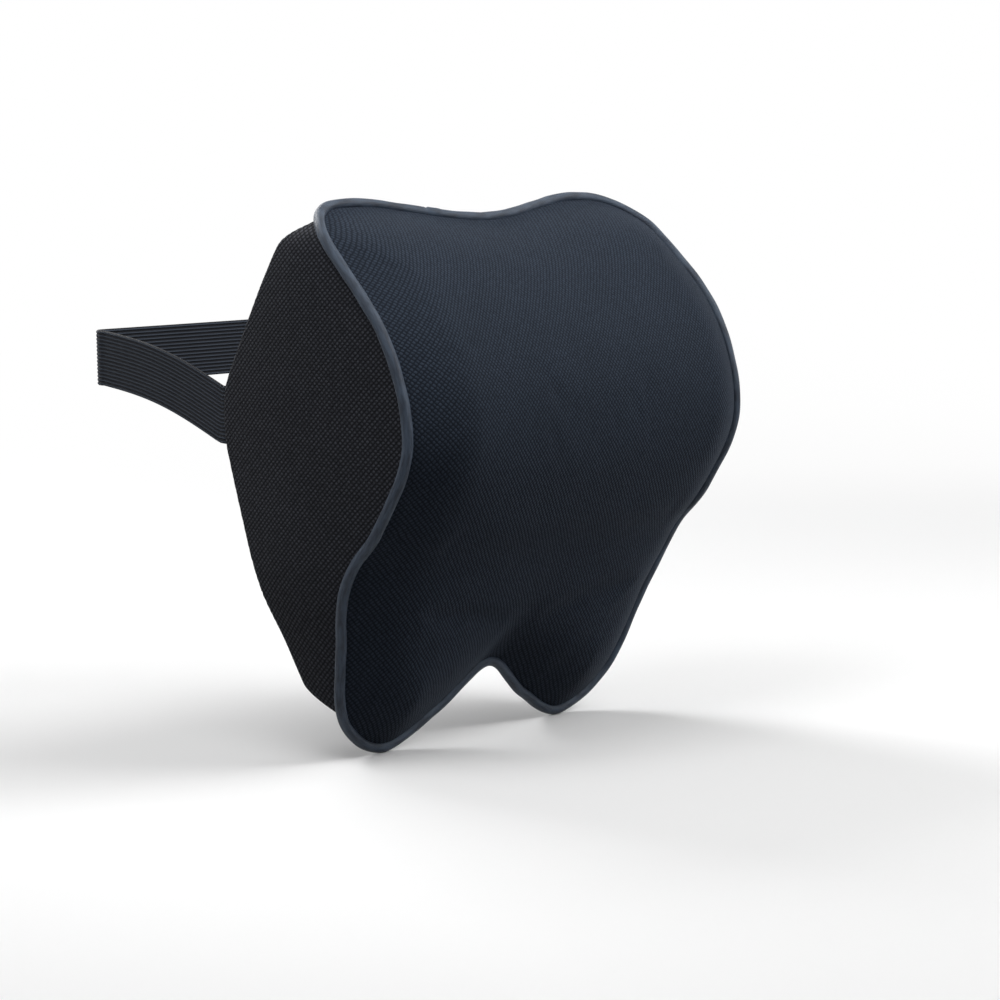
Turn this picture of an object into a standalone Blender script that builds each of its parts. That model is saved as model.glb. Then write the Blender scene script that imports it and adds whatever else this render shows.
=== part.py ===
"""Neck cushion: a memory-foam core in a zipped fabric cover with an elastic strap.

The cushion's front faces -Y and +Z is up. The origin lies on the cushion's back, at the
middle of the flat strip between the two slanting back faces, level with the strap.
All lengths are in metres.
"""

from math import cos, pi, radians, sin, tan

import bmesh
import bpy
import numpy as np
from mathutils import Matrix, Vector

# Front outline, seen from the front: X across from the middle, Z up from the strap
TOP_MIDDLE_Z = 0.0905
TOP_CREST_X = 0.082
TOP_CREST_Z = 0.099
TOP_CORNER_X = 0.116
TOP_CORNER_Z = 0.091
SHOULDER_X = 0.125
SHOULDER_Z = 0.066
WING_X = 0.1255
WING_Z = 0.000
WAIST_X = 0.1235
WAIST_Z = -0.072
FLANK_X = 0.114
FLANK_Z = -0.106
LOBE_SIDE_X = 0.100
LOBE_SIDE_Z = -0.144
LOBE_X = 0.068
LOBE_Z = -0.162
NOTCH_FLANK_X = 0.034
NOTCH_FLANK_Z = -0.148
NOTCH_Z = -0.1275

# Seam line of the front, seen from the side: how far it lies in front of the strap face
SEAM_TOP_DEPTH = 0.061
BROW_DEPTH = 0.084
BROW_Z = 0.080
FOREHEAD_DEPTH = 0.119
FOREHEAD_Z = 0.039
BULGE_DEPTH = 0.131
BULGE_Z = -0.009
NAPE_DEPTH = 0.112
NAPE_Z = -0.048
NECK_DEPTH = 0.087
NECK_Z = -0.080
SEAM_BOTTOM_DEPTH = 0.058

# Back of the foam: a flat strip with one slanting face above it and one below it
BACK_STRIP_HEIGHT = 0.024
BACK_UPPER_ANGLE = radians(32)
BACK_LOWER_ANGLE = radians(19)
BACK_EDGE_DROP = 0.0025
BACK_EDGE_REACH = 0.018
SIDE_DRAFT = 0.080  # how much a side leans in, for each metre that it runs back

# Padding
FRONT_CROWN = 0.017
FRONT_CROWN_REACH = 0.036
SIDE_CROWN = 0.005
EDGE_ROUNDING = 0.022

# Fabric and fits
FABRIC = 0.0018
FIT_GAP = 0.0003
SEAM_GAP = 0.0005
SIDE_SEAM_GAP = 0.0015
RIM_EASE = 2.0  # how much further the foam's thin rim draws in than its faces do
PIPING_RADIUS = 0.0025
PIPING_STAND_OFF = 0.0008

# Elastic strap
STRAP_WIDTH = 0.028
STRAP_THICKNESS = 0.0015
STRAP_REACH = 0.118
STRAP_RISE = 0.023
STRAP_HALF_SPAN = 0.088
STRAP_BEND_RADIUS = 0.011
STRAP_BOW = 0.004  # how far the rising runs bow above a straight line
STRAP_STAND_OFF = 0.0010  # how far the sewn ends stand behind the back's side edge
STRAP_RUN_STEPS = 8
STRAP_BEND_STEPS = 5

# Zip across the lower back face
ZIP_Z = -0.085
ZIP_LENGTH = 0.180
ZIP_WINDOW = 0.012
TAPE_WIDTH = 0.015
TAPE_THICKNESS = 0.0005
CHAIN_GAP = 0.0010
COIL_WIDTH = 0.0024
COIL_HEIGHT = 0.0014
STOP_LENGTH = 0.003
SLIDER_LENGTH = 0.010
SLIDER_PLATE = 0.0012
SLIDER_FLANGE = 0.0008
SLIDER_POST_WIDTH = 0.0004
SLIDER_POST_LENGTH = 0.002
BRIDGE_LENGTH = 0.007
BRIDGE_BAR = 0.0010
PULL_LENGTH = 0.024
PULL_THICKNESS = 0.0012
PULL_ARM = 0.0012

# Depths of the zip's layers, measured outwards from the cover's outer face
TAPE_TOP = -FABRIC - FIT_GAP
TAPE_BOTTOM = TAPE_TOP - TAPE_THICKNESS
COIL_BOTTOM = TAPE_TOP + FIT_GAP
COIL_TOP = COIL_BOTTOM + COIL_HEIGHT
UPPER_PLATE_BOTTOM = COIL_TOP + FIT_GAP
UPPER_PLATE_TOP = UPPER_PLATE_BOTTOM + SLIDER_PLATE
LOWER_PLATE_TOP = TAPE_BOTTOM - FIT_GAP
LOWER_PLATE_BOTTOM = LOWER_PLATE_TOP - SLIDER_PLATE
PULL_AXIS = UPPER_PLATE_TOP + FIT_GAP + 0.5 * PULL_THICKNESS
BRIDGE_BOTTOM = PULL_AXIS + 0.5 * PULL_THICKNESS + FIT_GAP
CHAIN_HALF = 0.5 * CHAIN_GAP + COIL_WIDTH
SLIDER_HALF = CHAIN_HALF + FIT_GAP + SLIDER_FLANGE
SLIDER_REST_X = -0.5 * ZIP_LENGTH + STOP_LENGTH + FIT_GAP + 0.5 * SLIDER_LENGTH

# Mesh density
COLUMNS = 5
SMOOTHING = 1
MIDDLE_ROWS = (0.030, 0.012, 0.004, -0.004, -0.012, -0.034, -0.062, -0.095)
TOP_SHARES = (1.0, 0.86, 0.66, 0.38)
BOTTOM_SHARES = (0.32, 0.62, 0.84, 1.0)
SIDE_TIP_SHARE = 0.4  # how far towards the next row a side panel's pointed ends stop
COLUMN_BUNCHING = 0.6  # how much closer the columns stand near the side, from 0 to 1
CURVE_STEPS = 24
OUTLINE_POINTS = 600
PIPING_STEPS = 2
SHARP_ANGLE = radians(50)
WELD = 1e-6
CUT_REACH = 0.4  # longer than the cushion
CUT_DEPTH = 0.05  # deeper than the foam's pocket, on both sides of the cover

# Colours, roughness and metallic value of each finish
FINISHES = {
    "front_knit": ((0.010, 0.013, 0.022, 1.0), 0.85, 0.0),
    "side_mesh": ((0.009, 0.010, 0.013, 1.0), 0.90, 0.0),
    "piping_satin": ((0.030, 0.042, 0.062, 1.0), 0.55, 0.0),
    "strap_elastic": ((0.020, 0.020, 0.022, 1.0), 0.75, 0.0),
    "memory_foam": ((0.70, 0.66, 0.55, 1.0), 0.95, 0.0),
    "zip_tape": ((0.012, 0.012, 0.014, 1.0), 0.80, 0.0),
    "zip_coil": ((0.015, 0.015, 0.018, 1.0), 0.40, 0.0),
    "zip_metal": ((0.10, 0.10, 0.11, 1.0), 0.30, 1.0),
}


def clear_scene():
    """Removes whatever the scene holds."""
    for obj in list(bpy.data.objects):
        bpy.data.objects.remove(obj, do_unlink=True)


def new_collection(name):
    """A collection under the scene's own."""
    collection = bpy.data.collections.new(name)
    bpy.context.scene.collection.children.link(collection)
    return collection


def finish(name):
    """The material with this finish, made on first use."""
    if name in bpy.data.materials:
        return bpy.data.materials[name]
    colour, roughness, metallic = FINISHES[name]
    material = bpy.data.materials.new(name)
    material.use_nodes = True
    shader = material.node_tree.nodes["Principled BSDF"]
    shader.inputs["Base Color"].default_value = colour
    shader.inputs["Roughness"].default_value = roughness
    shader.inputs["Metallic"].default_value = metallic
    material.diffuse_color = colour
    return material


def mesh_object(name, mesh, material, collection):
    """A named object around a mesh, with its finish, in a collection."""
    obj = bpy.data.objects.new(name, mesh)
    mesh.materials.append(finish(material))
    collection.objects.link(obj)
    return obj


def smooth_through(points, count):
    """Points evenly spaced along a smooth curve through the given ones (Catmull-Rom)."""
    points = np.asarray(points, float)
    first = 2 * points[0] - points[1]
    last = 2 * points[-1] - points[-2]
    padded = np.vstack([first, points, last])
    share = np.linspace(0.0, 1.0, CURVE_STEPS, endpoint=False)[:, None]
    pieces = []
    for before, start, end, after in zip(padded, padded[1:], padded[2:], padded[3:]):
        bend = 2 * before - 5 * start + 4 * end - after
        twist = 3 * start - before - 3 * end + after
        pieces.append(
            start + 0.5 * ((end - before) * share + bend * share**2 + twist * share**3)
        )
    curve = np.vstack(pieces + [points[-1:]])
    along = np.r_[0.0, np.cumsum(np.linalg.norm(np.diff(curve, axis=0), axis=1))]
    wanted = np.linspace(0.0, along[-1], count)
    return np.column_stack([np.interp(wanted, along, axis) for axis in curve.T])


def top_outline():
    """The top edge from the middle to the corner, as (x, z)."""
    stations = [
        (-TOP_CREST_X, TOP_CREST_Z),
        (0.0, TOP_MIDDLE_Z),
        (TOP_CREST_X, TOP_CREST_Z),
        (TOP_CORNER_X, TOP_CORNER_Z),
        (SHOULDER_X, SHOULDER_Z),
    ]
    curve = smooth_through(stations, OUTLINE_POINTS)
    kept = curve[(curve[:, 0] > 0.0) & (curve[:, 0] < TOP_CORNER_X)]
    return np.vstack([[0.0, TOP_MIDDLE_Z], kept, [TOP_CORNER_X, TOP_CORNER_Z]])


def side_outline():
    """The side edge from the top corner to the lobe's side, as (x, z)."""
    stations = [
        (TOP_CREST_X, TOP_CREST_Z),
        (TOP_CORNER_X, TOP_CORNER_Z),
        (SHOULDER_X, SHOULDER_Z),
        (WING_X, WING_Z),
        (WAIST_X, WAIST_Z),
        (FLANK_X, FLANK_Z),
        (LOBE_SIDE_X, LOBE_SIDE_Z),
        (LOBE_X, LOBE_Z),
    ]
    curve = smooth_through(stations, OUTLINE_POINTS)
    below = curve[:, 1] < TOP_CORNER_Z
    above = curve[:, 1] > LOBE_SIDE_Z
    beyond = curve[:, 0] > LOBE_SIDE_X
    kept = curve[below & above & beyond]
    return np.vstack([[TOP_CORNER_X, TOP_CORNER_Z], kept, [LOBE_SIDE_X, LOBE_SIDE_Z]])


def bottom_outline():
    """The bottom edge from the notch to the lobe's side, as (x, z)."""
    stations = [
        (-NOTCH_FLANK_X, NOTCH_FLANK_Z),
        (0.0, NOTCH_Z),
        (NOTCH_FLANK_X, NOTCH_FLANK_Z),
        (LOBE_X, LOBE_Z),
        (LOBE_SIDE_X, LOBE_SIDE_Z),
        (FLANK_X, FLANK_Z),
    ]
    curve = smooth_through(stations, OUTLINE_POINTS)
    kept = curve[(curve[:, 0] > 0.0) & (curve[:, 0] < LOBE_SIDE_X)]
    return np.vstack([[0.0, NOTCH_Z], kept, [LOBE_SIDE_X, LOBE_SIDE_Z]])


def inset(outlines, distance):
    """The three outlines moved inwards by a distance, with their shared corners kept shared."""
    top, side, bottom = outlines
    loop = np.vstack([top, side[1:], bottom[-2::-1]])
    along = np.gradient(loop, axis=0)
    along /= np.linalg.norm(along, axis=1)[:, None]
    moved = loop + distance * np.column_stack([along[:, 1], -along[:, 0]])
    moved[0] = (0.0, loop[0, 1] - distance)
    moved[-1] = (0.0, loop[-1, 1] + distance)
    corner = len(top) - 1
    foot = corner + len(side) - 1
    return moved[: corner + 1], moved[corner : foot + 1], moved[: foot - 1 : -1]


def sample_by_x(curve, xs):
    """Points of a curve at shares of its own run in X."""
    order = np.maximum.accumulate(curve[:, 0])
    wanted = xs * order[-1]
    return np.column_stack([wanted, np.interp(wanted, order, curve[:, 1])])


def row_heights(top_z, bottom_z):
    """Heights of the cage's rows between a top and a bottom end."""
    above = [MIDDLE_ROWS[0] + share * (top_z - MIDDLE_ROWS[0]) for share in TOP_SHARES]
    below = [MIDDLE_ROWS[-1] + share * (bottom_z - MIDDLE_ROWS[-1]) for share in BOTTOM_SHARES]
    return np.array(above + list(MIDDLE_ROWS) + below)


def column_shares():
    """Shares of the half width at which the cage's columns stand, closer near the side."""
    even = np.linspace(0.0, 1.0, COLUMNS + 1)
    bunched = np.sin(0.5 * pi * even)
    return COLUMN_BUNCHING * bunched + (1.0 - COLUMN_BUNCHING) * even


def plan_grid(outlines):
    """The half cushion's grid seen from the front: rows by columns of (x, z).

    Rows run straight across the middle, and bend towards the top and bottom edges.
    """
    top, side, bottom = outlines
    across = column_shares()
    top_edge = sample_by_x(top, across)
    bottom_edge = sample_by_x(bottom, across)
    middle_z = row_heights(top[0, 1], bottom[0, 1])
    side_z = row_heights(side[0, 1], side[-1, 1])
    falling = np.minimum.accumulate(side[:, 1])
    side_x = np.interp(-side_z, -falling, side[:, 0])
    middle = np.column_stack([np.zeros_like(middle_z), middle_z])
    flank = np.column_stack([side_x, side_z])
    grid = middle[:, None] * (1 - across)[None, :, None] + flank[:, None] * across[None, :, None]
    rows = len(middle_z)
    near_top = np.zeros(rows)
    near_top[: len(TOP_SHARES)] = TOP_SHARES
    near_bottom = np.zeros(rows)
    near_bottom[-len(BOTTOM_SHARES) :] = BOTTOM_SHARES
    grid += near_top[:, None, None] * (top_edge - grid[0])[None]
    grid += near_bottom[:, None, None] * (bottom_edge - grid[-1])[None]
    return grid


def front_depth(z):
    """Y of the front seam at a height."""
    stations = [
        (TOP_CREST_Z, -SEAM_TOP_DEPTH),
        (BROW_Z, -BROW_DEPTH),
        (FOREHEAD_Z, -FOREHEAD_DEPTH),
        (BULGE_Z, -BULGE_DEPTH),
        (NAPE_Z, -NAPE_DEPTH),
        (NECK_Z, -NECK_DEPTH),
        (LOBE_Z, -SEAM_BOTTOM_DEPTH),
    ]
    curve = smooth_through(stations, OUTLINE_POINTS)[::-1]
    return np.interp(z, curve[:, 0], curve[:, 1])


def back_depth(z):
    """Y of the foam's back at a height: the flat strip and the two slanting faces."""
    half = 0.5 * BACK_STRIP_HEIGHT
    upper = tan(BACK_UPPER_ANGLE) * np.maximum(z - half, 0.0)
    lower = tan(BACK_LOWER_ANGLE) * np.maximum(-half - z, 0.0)
    return -upper - lower


def distance_to(curves, points):
    """The distance in plan from each point to the nearest of these curves."""
    starts = np.vstack([curve[:-1] for curve in curves])
    runs = np.vstack([np.diff(curve, axis=0) for curve in curves])
    reach = points[..., None, :] - starts
    share = np.clip((reach * runs).sum(axis=-1) / (runs**2).sum(axis=-1), 0.0, 1.0)
    apart = reach - share[..., None] * runs
    return np.sqrt((apart**2).sum(axis=-1).min(axis=-1))


def rise(distance, reach):
    """0 at an edge, and 1 from the reach inwards, along a quarter sine."""
    return np.sin(0.5 * pi * np.clip(distance / reach, 0.0, 1.0))


def front_surface(outlines, plan):
    """The padded front over a plan grid, as rows by columns of (x, y, z)."""
    crown = FRONT_CROWN * rise(distance_to(outlines, plan), FRONT_CROWN_REACH)
    depth = front_depth(plan[..., 1]) - crown
    return np.stack([plan[..., 0], depth, plan[..., 1]], axis=-1)


def lean(depth):
    """The share of its width that the cushion keeps this far behind the front seam."""
    return 1.0 - SIDE_DRAFT * depth / WING_X


def back_surface(outlines, plan):
    """The back over a plan grid. It comes forward to the seam at the top and bottom edges,
    and drops a little towards the sides.
    """
    seam = front_depth(plan[..., 1])
    drop = BACK_EDGE_DROP * (1.0 - rise(distance_to([outlines[1]], plan), BACK_EDGE_REACH))
    full = back_depth(plan[..., 1]) - seam - drop
    to_edge = distance_to([outlines[0], outlines[2]], plan)
    depth = full * rise(to_edge, EDGE_ROUNDING)
    return np.stack([plan[..., 0] * lean(depth), seam + depth, plan[..., 1]], axis=-1)


def side_surface(front_edge, back_edge, shares):
    """The side between the front and back edges, bowed outwards, as rows by shares."""
    shares = np.asarray(shares)[None, :, None]
    grid = front_edge[:, None] * (1 - shares) + back_edge[:, None] * shares
    width = np.linalg.norm(back_edge - front_edge, axis=1)
    bow = SIDE_CROWN * np.clip(width / BULGE_DEPTH, 0.0, 1.0)
    grid[..., 0] += bow[:, None] * np.sin(pi * shares[..., 0])
    return grid


def add_grid(bm, grid, flip):
    """Adds a grid of points as quads. The faces turn over where flip is set."""
    rows, columns = grid.shape[:2]
    verts = [[bm.verts.new(point) for point in row] for row in grid]
    for i in range(rows - 1):
        for j in range(columns - 1):
            ring = [verts[i][j], verts[i][j + 1], verts[i + 1][j + 1], verts[i + 1][j]]
            bm.faces.new(ring[::-1] if flip else ring)


def finish_mesh(bm, name):
    """Welds the cage's shared edges and turns it into a smooth mesh."""
    bmesh.ops.remove_doubles(bm, verts=bm.verts, dist=WELD)
    mesh = bpy.data.meshes.new(name)
    bm.to_mesh(mesh)
    bm.free()
    mesh.shade_smooth()
    mesh.set_sharp_from_angle(angle=SHARP_ANGLE)
    return mesh


def add_mirror(obj):
    """Mirrors a half cage across the middle plane."""
    mirror = obj.modifiers.new("Mirror", "MIRROR")
    mirror.merge_threshold = WELD


def add_smoothing(obj):
    """Rounds the cage."""
    smoothing = obj.modifiers.new("Smoothing", "SUBSURF")
    smoothing.levels = SMOOTHING
    smoothing.render_levels = SMOOTHING


def add_fabric(obj):
    """Gives a panel the fabric's thickness, inwards from its outer face."""
    fabric = obj.modifiers.new("Fabric", "SOLIDIFY")
    fabric.thickness = FABRIC
    fabric.offset = -1.0
    fabric.use_even_offset = True


def cut(obj, cutter, name):
    """Cuts a cutter's shape out of an object."""
    boolean = obj.modifiers.new(name, "BOOLEAN")
    boolean.operation = "DIFFERENCE"
    boolean.solver = "EXACT"
    boolean.object = cutter


def make_foam_core(collection):
    """The moulded foam: the outer form moved in by the fabric and the seam gap."""
    outlines = (top_outline(), side_outline(), bottom_outline())
    plan = plan_grid(outlines)
    front = front_surface(outlines, plan)
    back = back_surface(outlines, plan)
    side = side_surface(front[:, -1], back[:, -1], (0.0, 0.5, 1.0))
    rim = np.vstack([front[0], front[-1]])
    bm = bmesh.new()
    add_grid(bm, front, flip=True)
    add_grid(bm, back, flip=False)
    add_grid(bm, side, flip=True)
    bmesh.ops.remove_doubles(bm, verts=bm.verts, dist=WELD)
    bm.normal_update()
    moves = [vert.normal * vert.calc_shell_factor() for vert in bm.verts]
    for vert, move in zip(bm.verts, moves):
        on_middle = abs(vert.co.x) < WELD
        on_rim = np.abs(rim - np.array(vert.co)).max(axis=1).min() < WELD
        vert.co -= (FABRIC + SEAM_GAP) * (RIM_EASE if on_rim else 1.0) * move
        if on_middle:
            vert.co.x = 0.0
    foam = mesh_object("foam_core", finish_mesh(bm, "foam_core"), "memory_foam", collection)
    add_mirror(foam)
    add_smoothing(foam)
    return foam


def relaxed_edge(grid):
    """A grid's side edge where a smoothed cage puts it: each point eased towards its neighbours."""
    edge = np.vstack([grid[:1, -2], grid[:, -1], grid[-1:, -2]])
    return (edge[:-2] + 4 * edge[1:-1] + edge[2:]) / 6


def make_front_panel(collection):
    """The front fabric, from piping to piping."""
    full = (top_outline(), side_outline(), bottom_outline())
    plan = plan_grid(inset(full, PIPING_RADIUS - PIPING_STAND_OFF))
    bm = bmesh.new()
    add_grid(bm, front_surface(full, plan), flip=True)
    panel = mesh_object("front_panel", finish_mesh(bm, "front_panel"), "front_knit", collection)
    add_mirror(panel)
    add_smoothing(panel)
    add_fabric(panel)
    return panel


def make_back_panel(name, collection):
    """The back fabric, from the top piping to the bottom piping and from side seam to side seam."""
    full = (top_outline(), side_outline(), bottom_outline())
    top, _, bottom = inset(full, PIPING_RADIUS)
    plan = plan_grid((top, full[1], bottom))
    bm = bmesh.new()
    add_grid(bm, back_surface(full, plan), flip=False)
    panel = mesh_object(name, finish_mesh(bm, name), "side_mesh", collection)
    add_mirror(panel)
    add_smoothing(panel)
    add_fabric(panel)
    return panel


def make_side_panel(name, side, collection):
    """One lens-shaped side. It runs from the front piping to the back panel's edge."""
    full = (top_outline(), side_outline(), bottom_outline())
    plan = plan_grid(full)
    edges = []
    for surface in (front_surface(full, plan), back_surface(full, plan)):
        edge, eased = surface[:, -1].copy(), relaxed_edge(surface)
        for tip, inner in ((0, 1), (-1, -2)):
            edge[tip] = (1.0 - SIDE_TIP_SHARE) * eased[tip] + SIDE_TIP_SHARE * eased[inner]
        edges.append(edge)
    front_edge, back_edge = edges
    across = back_edge - front_edge
    width = np.linalg.norm(across, axis=1)[:, None]
    bow = side_surface(front_edge, back_edge, (0.0, 0.5, 1.0))[:, 1]
    front_edge = front_edge + across * (PIPING_RADIUS + SIDE_SEAM_GAP) / width
    back_edge = back_edge - across * (FABRIC / cos(BACK_UPPER_ANGLE) + SIDE_SEAM_GAP) / width
    grid = np.stack([front_edge, bow, back_edge], axis=1)
    grid[..., 0] *= side
    bm = bmesh.new()
    add_grid(bm, grid, flip=side > 0)
    panel = mesh_object(name, finish_mesh(bm, name), "side_mesh", collection)
    add_smoothing(panel)
    add_fabric(panel)
    return panel


def make_piping(collection):
    """The covered cord sewn into the front seam, all the way round."""
    outlines = inset((top_outline(), side_outline(), bottom_outline()), -PIPING_STAND_OFF)
    plan = plan_grid(outlines)
    edge = np.vstack([plan[0], plan[1:, -1], plan[-1, -2::-1]])
    half = np.column_stack([edge[:, 0], front_depth(edge[:, 1]), edge[:, 1]])
    other = half[-2:0:-1] * (-1.0, 1.0, 1.0)
    loop = np.vstack([half, other])
    curve = bpy.data.curves.new("front_piping", "CURVE")
    curve.dimensions = "3D"
    curve.resolution_u = PIPING_STEPS
    curve.bevel_depth = PIPING_RADIUS
    curve.bevel_resolution = PIPING_STEPS
    spline = curve.splines.new("NURBS")
    spline.points.add(len(loop) - 1)
    spline.points.foreach_set("co", np.column_stack([loop, np.ones(len(loop))]).ravel())
    spline.order_u = 4
    spline.use_cyclic_u = True
    piping = bpy.data.objects.new("front_piping", curve)
    curve.materials.append(finish("piping_satin"))
    collection.objects.link(piping)
    return piping


def strap_path():
    """The strap's centre line from the right rear seam round to the left one, as (x, y, z)."""
    side = side_outline()
    edge_x = np.interp(0.0, -side[:, 1], side[:, 0])
    edge_y = -BACK_EDGE_DROP
    start_x = edge_x * lean(edge_y - front_depth(0.0)) - STRAP_THICKNESS
    start = Vector((start_x, edge_y + STRAP_STAND_OFF))
    centre = Vector((STRAP_HALF_SPAN - STRAP_BEND_RADIUS, STRAP_REACH - STRAP_BEND_RADIUS))
    end = centre + Vector((STRAP_BEND_RADIUS, 0.0))
    run = [start.lerp(end, step / STRAP_RUN_STEPS) for step in range(STRAP_RUN_STEPS)]
    turns = [0.5 * pi * step / STRAP_BEND_STEPS for step in range(STRAP_BEND_STEPS + 1)]
    bend = [centre + STRAP_BEND_RADIUS * Vector((cos(turn), sin(turn))) for turn in turns]
    half = run + bend
    flat = np.array([point[:] for point in half])
    share = np.clip(np.arange(len(half)) / len(run), 0.0, 1.0)
    height = STRAP_RISE * share + STRAP_BOW * np.sin(pi * share)
    right = np.column_stack([flat, height])
    left = right[::-1] * (-1.0, 1.0, 1.0)
    return np.vstack([right, left])


def make_strap(collection):
    """The flat elastic loop, sewn into the rear seams at both sides."""
    path = strap_path()
    up = np.array((0.0, 0.0, 0.5 * STRAP_WIDTH))
    grid = np.stack([path + up, path - up], axis=1)
    bm = bmesh.new()
    add_grid(bm, grid, flip=False)
    strap = mesh_object("elastic_strap", finish_mesh(bm, "elastic_strap"), "strap_elastic", collection)
    webbing = strap.modifiers.new("Webbing", "SOLIDIFY")
    webbing.thickness = STRAP_THICKNESS
    webbing.offset = 0.0
    webbing.use_even_offset = True
    return strap


def make_zip_frame(collection):
    """An empty in the middle of the zip: its Y points out of the lower back face, its Z up it."""
    frame = bpy.data.objects.new("zip_frame", None)
    frame.location = (0.0, float(back_depth(np.float64(ZIP_Z))), ZIP_Z)
    frame.rotation_euler = (-BACK_LOWER_ANGLE, 0.0, 0.0)
    frame.empty_display_size = 0.01
    collection.objects.link(frame)
    return frame


def boxes_mesh(name, boxes):
    """A mesh of boxes, each given by its lowest and highest corner."""
    bm = bmesh.new()
    for low, high in boxes:
        low, high = Vector(low), Vector(high)
        place = Matrix.Translation((low + high) / 2) @ Matrix.Diagonal((*(high - low), 1.0))
        bmesh.ops.create_cube(bm, size=1.0, matrix=place)
    mesh = bpy.data.meshes.new(name)
    bm.to_mesh(mesh)
    bm.free()
    return mesh


def make_box(name, low, high, material, parent, collection):
    """A box in its parent's frame, given by two corners."""
    box = mesh_object(name, boxes_mesh(name, [(low, high)]), material, collection)
    box.parent = parent
    return box


def make_cutter(name, boxes, parent, collection):
    """A helper made of boxes, which Booleans cut with and nothing shows."""
    cutter = bpy.data.objects.new(name, boxes_mesh(name, boxes))
    cutter.parent = parent
    cutter.hide_render = True
    cutter.display_type = "WIRE"
    collection.objects.link(cutter)
    return cutter


def make_zip_chain(frame, collection):
    """The two tapes, a coil of teeth on each, and the stops at the ends."""
    half = 0.5 * ZIP_LENGTH
    for name, side in (("upper", 1), ("lower", -1)):
        inner, outer = sorted((side * 0.5 * CHAIN_GAP, side * (0.5 * CHAIN_GAP + TAPE_WIDTH)))
        make_box(
            f"zip_tape_{name}",
            (-half, TAPE_BOTTOM, inner),
            (half, TAPE_TOP, outer),
            "zip_tape",
            frame,
            collection,
        )
        inner, outer = sorted((side * 0.5 * CHAIN_GAP, side * CHAIN_HALF))
        run = half - STOP_LENGTH - FIT_GAP
        make_box(
            f"zip_coil_{name}",
            (-run, COIL_BOTTOM, inner),
            (run, COIL_TOP, outer),
            "zip_coil",
            frame,
            collection,
        )
    for name, end in (("closed", -half), ("open", half - STOP_LENGTH)):
        make_box(
            f"zip_stop_{name}",
            (end, COIL_BOTTOM, -CHAIN_HALF),
            (end + STOP_LENGTH, COIL_TOP, CHAIN_HALF),
            "zip_metal",
            frame,
            collection,
        )


def make_slider(frame, collection):
    """The slider: two plates joined by a post, flanges over the teeth, and the pull's bridge."""
    half = 0.5 * SLIDER_LENGTH
    flange_bottom = COIL_BOTTOM + FIT_GAP
    post_end = -half + SLIDER_POST_LENGTH
    bridge = 0.5 * BRIDGE_LENGTH
    bar = 0.5 * BRIDGE_BAR
    bridge_top = BRIDGE_BOTTOM + BRIDGE_BAR
    inside = SLIDER_HALF - SLIDER_FLANGE
    post = 0.5 * SLIDER_POST_WIDTH
    boxes = [
        ((-half, UPPER_PLATE_BOTTOM, -SLIDER_HALF), (half, UPPER_PLATE_TOP, SLIDER_HALF)),
        ((-half, LOWER_PLATE_BOTTOM, -inside), (half, LOWER_PLATE_TOP, inside)),
        ((-half, flange_bottom, inside), (half, UPPER_PLATE_TOP, SLIDER_HALF)),
        ((-half, flange_bottom, -SLIDER_HALF), (half, UPPER_PLATE_TOP, -inside)),
        ((-half, LOWER_PLATE_BOTTOM, -post), (post_end, UPPER_PLATE_TOP, post)),
        ((-bridge, UPPER_PLATE_BOTTOM, -bar), (-bridge + BRIDGE_BAR, bridge_top, bar)),
        ((bridge - BRIDGE_BAR, UPPER_PLATE_BOTTOM, -bar), (bridge, bridge_top, bar)),
        ((-bridge, BRIDGE_BOTTOM, -bar), (bridge, bridge_top, bar)),
    ]
    slider = union_of_boxes("zip_slider", boxes, "zip_metal", collection)
    slider.parent = frame
    slider.location = (SLIDER_REST_X, 0.0, 0.0)
    return slider


def union_of_boxes(name, boxes, material, collection):
    """One solid from overlapping boxes, joined one after another."""
    solid = mesh_object(name, boxes_mesh(name, boxes[:1]), material, collection)
    helpers = []
    for index, box in enumerate(boxes[1:]):
        helper = bpy.data.objects.new(f"{name}_{index}", boxes_mesh(name, [box]))
        collection.objects.link(helper)
        joined = solid.modifiers.new(f"Join {index}", "BOOLEAN")
        joined.operation = "UNION"
        joined.solver = "EXACT"
        joined.object = helper
        helpers.append(helper)
    graph = bpy.context.evaluated_depsgraph_get()
    mesh = bpy.data.meshes.new_from_object(solid.evaluated_get(graph))
    solid.modifiers.clear()
    solid.data = mesh
    for helper in helpers:
        bpy.data.objects.remove(helper, do_unlink=True)
    return solid


def make_pull(slider, collection):
    """The flat pull, whose crossbar hangs in the bridge. Its origin is on its hinge axis."""
    half = 0.5 * PULL_THICKNESS
    eye = 0.5 * BRIDGE_BAR + 2 * FIT_GAP
    outer = eye + PULL_ARM
    eye_end = 0.5 * BRIDGE_LENGTH + 2 * FIT_GAP
    boxes = [
        ((-half, -half, -outer), (half, half, outer)),
        ((-half, -half, eye), (eye_end + PULL_ARM, half, outer)),
        ((-half, -half, -outer), (eye_end + PULL_ARM, half, -eye)),
        ((eye_end, -half, -outer), (PULL_LENGTH, half, outer)),
    ]
    pull = union_of_boxes("zip_pull", boxes, "zip_metal", collection)
    pull.parent = slider
    pull.location = (0.0, PULL_AXIS, 0.0)
    return pull


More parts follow.
